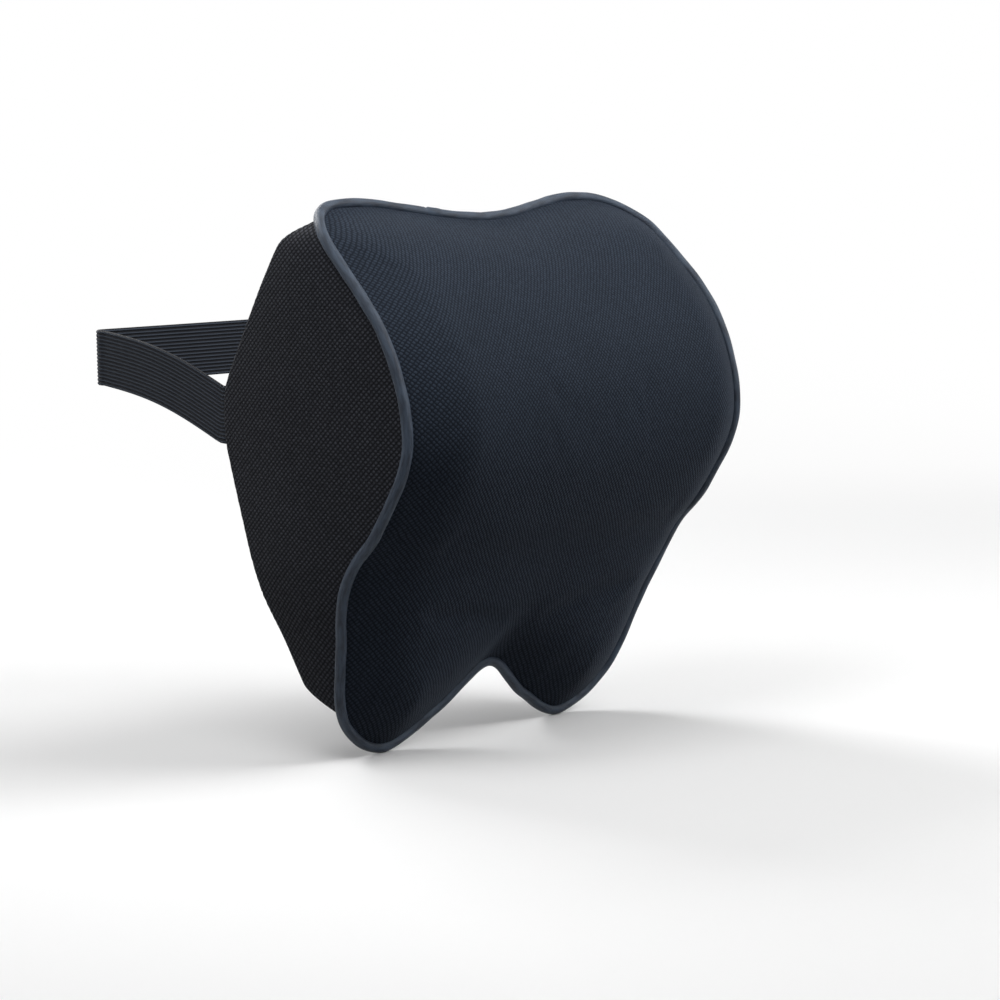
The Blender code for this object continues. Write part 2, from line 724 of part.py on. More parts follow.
def make_zip_cutters(frame, collection):
    """The window between the back panels, the line that parts them, and the foam's pocket."""
    half = 0.5 * ZIP_LENGTH + FIT_GAP
    window = 0.5 * ZIP_WINDOW
    far = CUT_REACH
    deep = CUT_DEPTH
    parting = 0.5 * FIT_GAP
    opening = make_cutter(
        "cut_zip_window", [((-half, -deep, -window), (half, deep, window))], frame, collection
    )
    below = make_cutter(
        "cut_below_zip", [((-far, -far, -far), (far, far, parting))], frame, collection
    )
    above = make_cutter(
        "cut_above_zip", [((-far, -far, -parting), (far, far, far))], frame, collection
    )
    tapes = 0.5 * CHAIN_GAP + TAPE_WIDTH + FIT_GAP
    pocket = make_cutter(
        "cut_tape_pocket",
        [((-half, TAPE_BOTTOM - FIT_GAP, -tapes), (half, deep, tapes))],
        frame,
        collection,
    )
    groove_half = SLIDER_HALF + FIT_GAP
    groove = make_cutter(
        "cut_slider_groove",
        [((-half, LOWER_PLATE_BOTTOM - FIT_GAP, -groove_half), (half, deep, groove_half))],
        frame,
        collection,
    )
    return opening, below, above, pocket, groove


def main():
    """Builds the cushion."""
    clear_scene()
    parts = new_collection("neck_cushion")
    cutters = new_collection("neck_cushion_cutters")
    foam = make_foam_core(parts)
    make_front_panel(parts)
    make_side_panel("side_panel_left", -1, parts)
    make_side_panel("side_panel_right", 1, parts)
    upper = make_back_panel("back_panel_upper", parts)
    lower = make_back_panel("back_panel_lower", parts)
    make_piping(parts)
    make_strap(parts)
    frame = make_zip_frame(parts)
    make_zip_chain(frame, parts)
    slider = make_slider(frame, parts)
    make_pull(slider, parts)
    opening, below, above, pocket, groove = make_zip_cutters(frame, cutters)
    cut(upper, below, "Lower edge")
    cut(upper, opening, "Zip window")
    cut(lower, above, "Upper edge")
    cut(lower, opening, "Zip window")
    cut(foam, pocket, "Tape pocket")
    cut(foam, groove, "Slider groove")


main()
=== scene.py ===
"""Looks of a padded neck cushion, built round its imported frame.

A knitted front and mesh sides and back are stretched over a foam wedge. A covered cord edges
the front, a ribbed elastic loops behind, and a zip crosses the lower back. Lengths are in
metres, in the frame's own axes: the front faces -Y, +Y points out of the back, +Z is up.
"""

import logging
from dataclasses import dataclass, field
from enum import Enum
from functools import cached_property
from math import cos, pi, radians, sin, tan

import bmesh
import bpy
import numpy as np
from mathutils import Matrix, Vector


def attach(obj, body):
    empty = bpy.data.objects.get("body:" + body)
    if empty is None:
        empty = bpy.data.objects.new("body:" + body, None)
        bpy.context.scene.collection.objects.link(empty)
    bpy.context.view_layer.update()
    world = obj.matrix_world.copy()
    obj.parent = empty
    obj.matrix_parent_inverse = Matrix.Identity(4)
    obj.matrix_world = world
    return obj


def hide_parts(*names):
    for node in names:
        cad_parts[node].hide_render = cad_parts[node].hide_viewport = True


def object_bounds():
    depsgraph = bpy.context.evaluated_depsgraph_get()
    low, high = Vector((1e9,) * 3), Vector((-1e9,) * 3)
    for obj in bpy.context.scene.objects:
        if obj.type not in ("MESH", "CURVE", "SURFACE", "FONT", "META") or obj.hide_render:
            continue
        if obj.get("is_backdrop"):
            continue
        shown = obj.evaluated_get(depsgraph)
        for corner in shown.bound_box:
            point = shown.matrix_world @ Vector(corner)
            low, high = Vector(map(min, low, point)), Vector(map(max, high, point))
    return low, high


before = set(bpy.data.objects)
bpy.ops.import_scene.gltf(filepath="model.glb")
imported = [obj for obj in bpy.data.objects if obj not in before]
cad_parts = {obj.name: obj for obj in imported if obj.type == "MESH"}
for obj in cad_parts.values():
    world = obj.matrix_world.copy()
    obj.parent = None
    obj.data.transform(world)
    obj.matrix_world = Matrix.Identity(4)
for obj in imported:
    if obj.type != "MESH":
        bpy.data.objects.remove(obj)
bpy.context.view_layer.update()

log = logging.getLogger("neck_cushion")

UV_NAME = "weave"
CLOTH_FRAMES = 20
FOLD_RINGS = 8
CORNERS = 4


def smooth_line(stations: np.ndarray, steps: int, closed: bool = False) -> np.ndarray:
    """A smooth line through stations, in even steps between each two of them.

    Formula: between stations b and c, with neighbours a and d, the point at share t is
    b + ((c - a) t + (2a - 5b + 4c - d) t^2 + (3b - a - 3c + d) t^3) / 2.

    Args:
        stations: the points that the line passes through.
        steps: how many points it has for each stretch between stations.
        closed: whether the line returns to its first station.

    Returns:
        The line's points. An open line also has its last station.
    """
    stations = np.asarray(stations, float)
    if closed:
        padded = np.vstack([stations[-1:], stations, stations[:2]])
    else:
        first = 2 * stations[0] - stations[1]
        last = 2 * stations[-1] - stations[-2]
        padded = np.vstack([first, stations, last])
    stretches = len(padded) - 3
    a, b, c, d = (padded[k : stretches + k, None] for k in range(CORNERS))
    t = np.linspace(0.0, 1.0, steps, endpoint=False)[None, :, None]
    bend = 2 * a - 5 * b + 4 * c - d
    twist = 3 * b - a - 3 * c + d
    line = b + 0.5 * ((c - a) * t + bend * t**2 + twist * t**3)
    line = line.reshape(-1, stations.shape[1])
    return line if closed else np.vstack([line, stations[-1:]])


def lengths_along(line: np.ndarray) -> np.ndarray:
    """The length of a line from its start to each of its points."""
    return np.r_[0.0, np.cumsum(np.linalg.norm(np.diff(line, axis=0), axis=1))]


def at_shares(line: np.ndarray, shares: np.ndarray) -> np.ndarray:
    """Points of a line at shares of its length.

    Args:
        line: the line's points.
        shares: shares from 0 to 1, in an array of any shape.

    Returns:
        The points, with their coordinates on the last axis.
    """
    along = lengths_along(line)
    wanted = np.asarray(shares) * along[-1]
    return np.stack([np.interp(wanted, along, axis) for axis in line.T], axis=-1)


def distance_to(line: np.ndarray, points: np.ndarray) -> np.ndarray:
    """The distance from each point to a line, in plan.

    Formula: on each stretch the nearest point is at the share of the point's projection,
    held between 0 and 1. The smallest distance counts. Rows are taken one at a time.

    Args:
        line: the line's points, as (x, z).
        points: rows by columns of (x, z).

    Returns:
        Rows by columns of distances.
    """
    starts = line[:-1]
    runs = np.diff(line, axis=0)
    squares = (runs**2).sum(axis=1)
    rows = []
    for row in points:
        reach = row[:, None] - starts
        share = np.clip((reach * runs).sum(axis=-1) / squares, 0.0, 1.0)
        apart = reach - share[..., None] * runs
        rows.append(np.sqrt((apart**2).sum(axis=-1).min(axis=-1)))
    return np.array(rows)


def rise(distance: np.ndarray, reach: float) -> np.ndarray:
    """0 at an edge and 1 from the reach inwards, along a quarter sine."""
    return np.sin(0.5 * pi * np.clip(distance / reach, 0.0, 1.0))


def smoothstep(share: np.ndarray) -> np.ndarray:
    """0 below 0, 1 above 1 and 3s^2 - 2s^3 between them."""
    share = np.clip(share, 0.0, 1.0)
    return share * share * (3.0 - 2.0 * share)


def unit(vectors: np.ndarray) -> np.ndarray:
    """The vectors with their lengths made 1. A vector of no length stays as it is."""
    size = np.linalg.norm(vectors, axis=-1, keepdims=True)
    return vectors / np.maximum(size, 1e-12)


def bunched(count: int, bunching: float) -> np.ndarray:
    """Shares from 0 to 1 that stand closer at both ends: t - k sin(2 pi t) / (2 pi)."""
    t = np.linspace(0.0, 1.0, count)
    return t - bunching * np.sin(2 * pi * t) / (2 * pi)


def grid_normals(grid: np.ndarray) -> np.ndarray:
    """A grid's unit normals: the step along a row crossed with the step down a column.

    A row and a column may run into each other at a corner, so the normals of the corners'
    nearest points are taken from a little further in.

    Args:
        grid: rows by columns of points.

    Returns:
        Rows by columns of normals.
    """
    normals = unit(np.cross(np.gradient(grid, axis=1), np.gradient(grid, axis=0)))
    for rows, row in ((slice(0, 4), 4), (slice(-4, None), -5)):
        for columns, column in ((slice(0, 4), 4), (slice(-4, None), -5)):
            normals[rows, columns] = normals[row, column]
    return normals


def grid_lengths(grid: np.ndarray, axis: int) -> np.ndarray:
    """The length along a grid's rows (axis 1) or columns (axis 0) up to each point."""
    steps = np.linalg.norm(np.diff(grid, axis=axis), axis=-1)
    start = np.zeros_like(steps.take([0], axis=axis))
    return np.concatenate([start, np.cumsum(steps, axis=axis)], axis=axis)


def spline_weights(shares: np.ndarray, count: int) -> np.ndarray:
    """The matrix that reads a smooth curve through evenly spaced values.

    Formula: the four Catmull-Rom weights of the cell that each share falls in.

    Args:
        shares: where to read, from 0 to 1.
        count: how many values the curve passes through.

    Returns:
        One row of weights for each share.
    """
    place = np.clip(shares, 0.0, 1.0) * (count - 1)
    cell = np.minimum(place.astype(int), count - 2)
    t = place - cell
    weights = 0.5 * np.stack(
        [
            -t + 2 * t**2 - t**3,
            2 - 5 * t**2 + 3 * t**3,
            t + 4 * t**2 - 3 * t**3,
            -(t**2) + t**3,
        ]
    )
    matrix = np.zeros((len(shares), count))
    for offset, weight in enumerate(weights):
        column = np.clip(cell + offset - 1, 0, count - 1)
        np.add.at(matrix, (np.arange(len(shares)), column), weight)
    return matrix


def grid_mesh(name: str, grid: np.ndarray, uv: np.ndarray, flip: bool, wrap: bool = False) -> bpy.types.Mesh:
    """A mesh of quads over a grid of points, smooth and with a UV map in metres.

    Args:
        name: the mesh's name.
        grid: rows by columns of (x, y, z).
        uv: rows by columns of (u, v), with one more column where the grid wraps.
        flip: turns the faces over.
        wrap: joins the last column to the first.

    Returns:
        The mesh.
    """
    rows, columns = grid.shape[:2]
    index = np.arange(rows * columns).reshape(rows, columns)
    near = index if wrap else index[:, :-1]
    far = np.roll(index, -1, axis=1) if wrap else index[:, 1:]
    quads = np.stack([near[:-1], far[:-1], far[1:], near[1:]], axis=-1).reshape(-1, CORNERS)
    near_uv, far_uv = uv[:, :-1], uv[:, 1:]
    corners = np.stack([near_uv[:-1], far_uv[:-1], far_uv[1:], near_uv[1:]], axis=2)
    corners = corners.reshape(-1, CORNERS, 2)
    if flip:
        quads = quads[:, ::-1]
        corners = corners[:, ::-1]
    mesh = bpy.data.meshes.new(name)
    mesh.vertices.add(grid.size // 3)
    mesh.vertices.foreach_set("co", np.ascontiguousarray(grid, np.float32).ravel())
    mesh.loops.add(quads.size)
    mesh.loops.foreach_set("vertex_index", np.ascontiguousarray(quads, np.int32).ravel())
    mesh.polygons.add(len(quads))
    mesh.polygons.foreach_set("loop_start", np.arange(0, quads.size, CORNERS, dtype=np.int32))
    mesh.update(calc_edges=True)
    layer = mesh.uv_layers.new(name=UV_NAME)
    layer.data.foreach_set("uv", np.ascontiguousarray(corners, np.float32).ravel())
    mesh.shade_smooth()
    return mesh


def add_piece(name: str, mesh: bpy.types.Mesh, material: bpy.types.Material) -> bpy.types.Object:
    """A new object at the origin around a mesh, with one material."""
    piece = bpy.data.objects.new(name, mesh)
    mesh.materials.append(material)
    bpy.context.scene.collection.objects.link(piece)
    return piece


def settle(piece: bpy.types.Object, body: str, slot: str, *nodes: str) -> bpy.types.Object:
    """Rides a piece on a body and lets it stand for CAD nodes."""
    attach(piece, body)
    if nodes:
        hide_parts(*nodes)
    mesh = piece.data
    log.info("%s: %d faces on %s", piece.name, len(mesh.polygons), body)
    return piece


class Body(str, Enum):
    """The frame's bodies."""

    CUSHION = "cushion"
    SLIDER = "slider"
    PULL = "pull"


class Slot(str, Enum):
    """The names of the material slots."""

    FOAM = "foam"
    FRONT_KNIT = "front_knit"
    SIDE_MESH = "side_mesh"
    PIPING = "piping_satin"
    STRAP = "strap_elastic"
    ZIP_TAPE = "zip_tape"
    ZIP_COIL = "zip_coil"
    ZIP_METAL = "zip_metal"


class Graph:
    """A short way to add and join the nodes of one node tree."""

    def __init__(self, tree: bpy.types.NodeTree) -> None:
        """Keeps the tree."""
        self.tree = tree

    def add(self, kind: str, inputs: dict | None = None, **settings: object) -> bpy.types.Node:
        """Adds a node.

        Args:
            kind: the node's type, without its leading ShaderNode.
            inputs: values or sockets, by the inputs' names or numbers.
            settings: the node's own settings.

        Returns:
            The node.
        """
        node = self.tree.nodes.new(kind if kind.startswith("Node") else f"ShaderNode{kind}")
        for name, value in settings.items():
            setattr(node, name, value)
        for name, value in (inputs or {}).items():
            if isinstance(value, bpy.types.NodeSocket):
                self.tree.links.new(value, node.inputs[name])
            else:
                node.inputs[name].default_value = value
        return node

    def math(self, operation: str, *values: object) -> bpy.types.NodeSocket:
        """The result of a Math node on numbers or sockets."""
        node = self.add("Math", dict(enumerate(values)), operation=operation)
        return node.outputs[0]

    def blend(self, share: object, low: object, high: object) -> bpy.types.NodeSocket:
        """A colour between two, by a share."""
        node = self.add("Mix", {"Factor": share, "A": low, "B": high}, data_type="RGBA")
        return node.outputs["Result"]

    def remap(self, value: object, low: float, high: float, to_low: float, to_high: float) -> bpy.types.NodeSocket:
        """A value moved smoothly from one range to another, and held inside it."""
        inputs = {"Value": value, "From Min": low, "From Max": high, "To Min": to_low, "To Max": to_high}
        return self.add("MapRange", inputs, interpolation_type="SMOOTHSTEP").outputs["Result"]


def new_group(name: str, inputs: dict[str, float | None], outputs: dict[str, str]) -> tuple[Graph, bpy.types.Node, bpy.types.Node]:
    """An empty node group.

    Args:
        name: the group's name.
        inputs: each input's default, or None for a vector.
        outputs: each output's socket type, such as Float.

    Returns:
        Its graph, its input node and its output node.
    """
    tree = bpy.data.node_groups.new(name, "ShaderNodeTree")
    for socket, default in inputs.items():
        kind = "NodeSocketVector" if default is None else "NodeSocketFloat"
        made = tree.interface.new_socket(socket, in_out="INPUT", socket_type=kind)
        if default is not None:
            made.default_value = default
    for socket, kind in outputs.items():
        tree.interface.new_socket(socket, in_out="OUTPUT", socket_type=f"NodeSocket{kind}")
    graph = Graph(tree)
    return graph, graph.add("NodeGroupInput"), graph.add("NodeGroupOutput")


def knit_cells() -> bpy.types.NodeTree:
    """The group of knit cells: a dome in each diamond of a lattice, and a random value for it.

    Formula: noise first shifts u and v by up to half the distortion. With a = u / across and
    b = v / down, the cells are those of p = a + b and q = a - b. In each, the dome is
    sin(pi fract(p)) sin(pi fract(q)), so neighbouring rows of domes are staggered by half.
    """
    name = "knit_cells"
    if name in bpy.data.node_groups:
        return bpy.data.node_groups[name]
    inputs = {"Vector": None, "Across": 0.003, "Down": 0.003, "Distortion": 0.0003}
    graph, start, end = new_group(name, inputs, {"Height": "Float", "Random": "Float"})
    noise = graph.add("TexNoise", {"Vector": start.outputs["Vector"], "Scale": 350.0, "Detail": 1.0})
    centred = graph.add("VectorMath", {0: noise.outputs["Color"], 1: (0.5, 0.5, 0.5)}, operation="SUBTRACT")
    shift = graph.add("VectorMath", {0: centred.outputs[0]}, operation="SCALE")
    graph.tree.links.new(start.outputs["Distortion"], shift.inputs["Scale"])
    moved = graph.add("VectorMath", {0: start.outputs["Vector"], 1: shift.outputs[0]}, operation="ADD")
    place = graph.add("SeparateXYZ", {"Vector": moved.outputs[0]})
    a = graph.math("DIVIDE", place.outputs["X"], start.outputs["Across"])
    b = graph.math("DIVIDE", place.outputs["Y"], start.outputs["Down"])
    pair = (graph.math("ADD", a, b), graph.math("SUBTRACT", a, b))
    domes = [graph.math("SINE", graph.math("MULTIPLY", graph.math("FRACT", part), pi)) for part in pair]
    graph.tree.links.new(graph.math("MULTIPLY", *domes), end.inputs["Height"])
    cell = graph.add("CombineXYZ", {k: graph.math("FLOOR", part) for k, part in enumerate(pair)})
    random = graph.add("TexWhiteNoise", {"Vector": cell.outputs[0]}, noise_dimensions="2D")
    graph.tree.links.new(random.outputs["Value"], end.inputs["Random"])
    return graph.tree


def cloth_tone() -> bpy.types.NodeTree:
    """The group of slow tone changes that handled cloth shows: two sizes of noise, about 1."""
    name = "cloth_tone"
    if name in bpy.data.node_groups:
        return bpy.data.node_groups[name]
    inputs = {"Vector": None, "Broad": 30.0, "Fine": 400.0, "Amount": 0.2}
    graph, start, end = new_group(name, inputs, {"Tone": "Float"})
    parts = []
    for size in ("Broad", "Fine"):
        inputs = {"Vector": start.outputs["Vector"], "Scale": start.outputs[size], "Detail": 3.0}
        noise = graph.add("TexNoise", inputs)
        parts.append(graph.math("SUBTRACT", noise.outputs["Fac"], 0.5))
    both = graph.math("ADD", *parts)
    swing = graph.math("MULTIPLY", both, start.outputs["Amount"])
    graph.tree.links.new(graph.math("ADD", swing, 1.0), end.inputs["Tone"])
    return graph.tree


Colour = tuple[float, float, float]


def new_material(name: str) -> tuple[Graph, bpy.types.Node]:
    """An empty material's graph and its shader."""
    material = bpy.data.materials.new(name)
    material.use_nodes = True
    return Graph(material.node_tree), material.node_tree.nodes["Principled BSDF"]


def opaque(colour: Colour) -> tuple[float, float, float, float]:
    """A colour with full alpha."""
    return (*colour, 1.0)


@dataclass(frozen=True)
class ClothFinish:
    """A cloth's colours, weave and sheen. The weave is in metres on the piece's UV map."""

    name: str
    thread: Colour
    ground: Colour
    across: float
    down: float
    relief: float
    roughness: float = 0.85
    specular: float = 0.10
    sheen: float = 0.0
    sheen_tint: Colour = (1.0, 1.0, 1.0)
    tone: float = 0.25
    coverage: tuple[float, float] = (0.15, 0.75)
    spread: float = 0.5
    distortion: float = 0.0003

    def material(self) -> bpy.types.Material:
        """The material: cells of thread over a darker ground, raised by a bump."""
        if self.name in bpy.data.materials:
            return bpy.data.materials[self.name]
        graph, shader = new_material(self.name)
        uv = graph.add("UVMap", uv_map=UV_NAME)
        cells = graph.add("Group", {}, node_tree=knit_cells())
        for socket, value in (("Across", self.across), ("Down", self.down), ("Distortion", self.distortion)):
            cells.inputs[socket].default_value = value
        graph.tree.links.new(uv.outputs[0], cells.inputs["Vector"])
        tone = graph.add("Group", node_tree=cloth_tone())
        tone.inputs["Amount"].default_value = self.tone
        place = graph.add("TexCoord")
        graph.tree.links.new(place.outputs["Object"], tone.inputs["Vector"])
        height = cells.outputs["Height"]
        cover = graph.remap(height, *self.coverage, 0.0, 1.0)
        own = graph.remap(cells.outputs["Random"], 0.0, 1.0, 1.0 - self.spread, 1.0 + self.spread)
        share = graph.math("MULTIPLY", cover, own)
        colour = graph.blend(share, opaque(self.ground), opaque(self.thread))
        shade = graph.add("VectorMath", {0: colour}, operation="SCALE")
        graph.tree.links.new(tone.outputs["Tone"], shade.inputs["Scale"])
        graph.tree.links.new(shade.outputs[0], shader.inputs["Base Color"])
        bump = graph.add("Bump", {"Strength": 1.0, "Distance": self.relief, "Height": height})
        graph.tree.links.new(bump.outputs[0], shader.inputs["Normal"])
        shader.inputs["Roughness"].default_value = self.roughness
        shader.inputs["Sheen Weight"].default_value = self.sheen
        shader.inputs["Sheen Roughness"].default_value = 0.4
        shader.inputs["Sheen Tint"].default_value = opaque(self.sheen_tint)
        shader.inputs["Specular IOR Level"].default_value = self.specular
        return bpy.data.materials[self.name]


@dataclass(frozen=True)
class SatinFinish:
    """The piping's smooth cover: a fine slanting weave and soft lengthwise creases, with painted highlight and painted
    shade along the creases in its colour.
    """

    name: str = "satin_cord"
    # The two colours below are painted light: a lit tone and a shaded tone of the satin, blended along the creases.
    crease_highlight: Colour = (0.050, 0.072, 0.108)
    crease_shade: Colour = (0.016, 0.024, 0.040)
    weave: float = 0.0007
    crease: float = 0.0003

    def material(self) -> bpy.types.Material:
        """The material: long noise for the creases, which also paints highlight and shade into the colour, and small
        cells turned by half a right angle.
        """
        graph, shader = new_material(self.name)
        uv = graph.add("UVMap", uv_map=UV_NAME)
        turned = graph.add("Mapping", {"Vector": uv.outputs[0], "Rotation": (0.0, 0.0, 0.25 * pi)})
        cells = graph.add("Group", node_tree=knit_cells())
        for socket in ("Across", "Down"):
            cells.inputs[socket].default_value = self.weave
        graph.tree.links.new(turned.outputs[0], cells.inputs["Vector"])
        scale = graph.add("Mapping", {"Vector": uv.outputs[0], "Scale": (90.0, 420.0, 1.0)})
        creases = graph.add("TexNoise", {"Vector": scale.outputs[0], "Scale": 1.0, "Detail": 4.0})
        share = graph.remap(creases.outputs["Fac"], 0.3, 0.7, 0.0, 1.0)
        # Painted highlight and painted shade: the colour swings between lit and shaded satin along the creases.
        colour = graph.blend(share, opaque(self.crease_shade), opaque(self.crease_highlight))
        graph.tree.links.new(colour, shader.inputs["Base Color"])
        weave = graph.add("Bump", {"Strength": 0.5, "Distance": 0.00014, "Height": cells.outputs["Height"]})
        fold = graph.add("Bump", {"Strength": 0.8, "Distance": self.crease, "Height": creases.outputs["Fac"]})
        graph.tree.links.new(weave.outputs[0], fold.inputs["Normal"])
        graph.tree.links.new(fold.outputs[0], shader.inputs["Normal"])
        shader.inputs["Roughness"].default_value = 0.5
        shader.inputs["Specular IOR Level"].default_value = 0.3
        shader.inputs["Sheen Weight"].default_value = 0.04
        shader.inputs["Sheen Tint"].default_value = (0.55, 0.65, 0.80, 1.0)
        return bpy.data.materials[self.name]


@dataclass(frozen=True)
class RibbedFinish:
    """Elastic webbing: painted highlight on the crests and painted shade in the grooves along it, crossed by a fine
    weave.
    """

    pitch: float
    name: str = "elastic_webbing"
    # Painted light: the crest colour is a painted highlight on the ribs, and the groove colour is painted shade between
    # them.
    crest_highlight: Colour = (0.080, 0.098, 0.130)
    groove: Colour = (0.004, 0.005, 0.008)
    weave: float = 0.0008

    def material(self) -> bpy.types.Material:
        """The material. The crests, where the highlight is painted, are where cos(2 pi v / pitch) is highest."""
        graph, shader = new_material(self.name)
        uv = graph.add("UVMap", uv_map=UV_NAME)
        cells = graph.add("Group", node_tree=knit_cells())
        for socket in ("Across", "Down"):
            cells.inputs[socket].default_value = self.weave
        graph.tree.links.new(uv.outputs[0], cells.inputs["Vector"])
        across = graph.add("SeparateXYZ", {"Vector": uv.outputs[0]}).outputs["Y"]
        wave = graph.math("COSINE", graph.math("MULTIPLY", across, 2 * pi / self.pitch))
        # Where the painted highlight lies on the crests. The grooves between them get the painted shade.
        crest_highlight = graph.remap(wave, 0.1, 1.0, 0.0, 1.0)
        share = graph.math("MULTIPLY", crest_highlight, graph.remap(cells.outputs["Height"], 0.0, 1.0, 0.55, 1.0))
        colour = graph.blend(share, opaque(self.groove), opaque(self.crest_highlight))
        graph.tree.links.new(colour, shader.inputs["Base Color"])
        bump = graph.add("Bump", {"Strength": 0.6, "Distance": 0.0001, "Height": cells.outputs["Height"]})
        graph.tree.links.new(bump.outputs[0], shader.inputs["Normal"])
        shader.inputs["Roughness"].default_value = 0.7
        shader.inputs["Specular IOR Level"].default_value = 0.15
        return bpy.data.materials[self.name]


@dataclass(frozen=True)
class SpeckledFinish:
    """A plain or pored finish: one colour with noise in tone, roughness and relief."""

    name: str
    colour: Colour
    roughness: float
    metallic: float = 0.0
    grain: float = 900.0
    relief: float = 0.00005
    contrast: float = 0.3

    def material(self) -> bpy.types.Material:
        """The material, on Object coordinates."""
        if self.name in bpy.data.materials:
            return bpy.data.materials[self.name]
        graph, shader = new_material(self.name)
        place = graph.add("TexCoord")
        tone = graph.add("Group", node_tree=cloth_tone())
        tone.inputs["Fine"].default_value = self.grain
        tone.inputs["Amount"].default_value = self.contrast
        graph.tree.links.new(place.outputs["Object"], tone.inputs["Vector"])
        shade = graph.add("VectorMath", {0: self.colour}, operation="SCALE")
        graph.tree.links.new(tone.outputs["Tone"], shade.inputs["Scale"])
        graph.tree.links.new(shade.outputs[0], shader.inputs["Base Color"])
        low, high = 0.8 * self.roughness, min(1.0, 1.2 * self.roughness)
        gloss = graph.remap(tone.outputs["Tone"], 0.9, 1.1, low, high)
        graph.tree.links.new(gloss, shader.inputs["Roughness"])
        bump = graph.add("Bump", {"Strength": 0.6, "Distance": self.relief, "Height": tone.outputs["Tone"]})
        graph.tree.links.new(bump.outputs[0], shader.inputs["Normal"])
        shader.inputs["Metallic"].default_value = self.metallic
        return bpy.data.materials[self.name]


FRONT_KNIT = ClothFinish(
    "navy_knit",
    thread=(0.031, 0.042, 0.062),
    ground=(0.011, 0.015, 0.023),
    across=0.0024,
    down=0.0026,
    relief=0.00022,
    distortion=0.0011,
    sheen=0.05,
    sheen_tint=(0.6, 0.72, 0.9),
    spread=0.25,
)
SIDE_MESH = ClothFinish(
    "spacer_mesh",
    thread=(0.062, 0.066, 0.080),
    ground=(0.014, 0.015, 0.019),
    across=0.0031,
    down=0.0027,
    relief=0.0004,
    coverage=(0.25, 0.95),
    sheen=0.05,
    spread=0.35,
    distortion=0.0005,
)
TAPE = SpeckledFinish("woven_tape", (0.014, 0.014, 0.016), 0.85, grain=2500.0)
THREAD = SpeckledFinish("seam_thread", (0.020, 0.022, 0.028), 0.6, grain=3000.0)
NYLON = SpeckledFinish("black_nylon", (0.018, 0.018, 0.021), 0.38, grain=2000.0)
GUNMETAL = SpeckledFinish("gunmetal", (0.14, 0.14, 0.15), 0.3, metallic=0.9, contrast=0.15)
FOAM = SpeckledFinish("slow_foam", (0.70, 0.66, 0.55), 0.95, relief=0.0004)


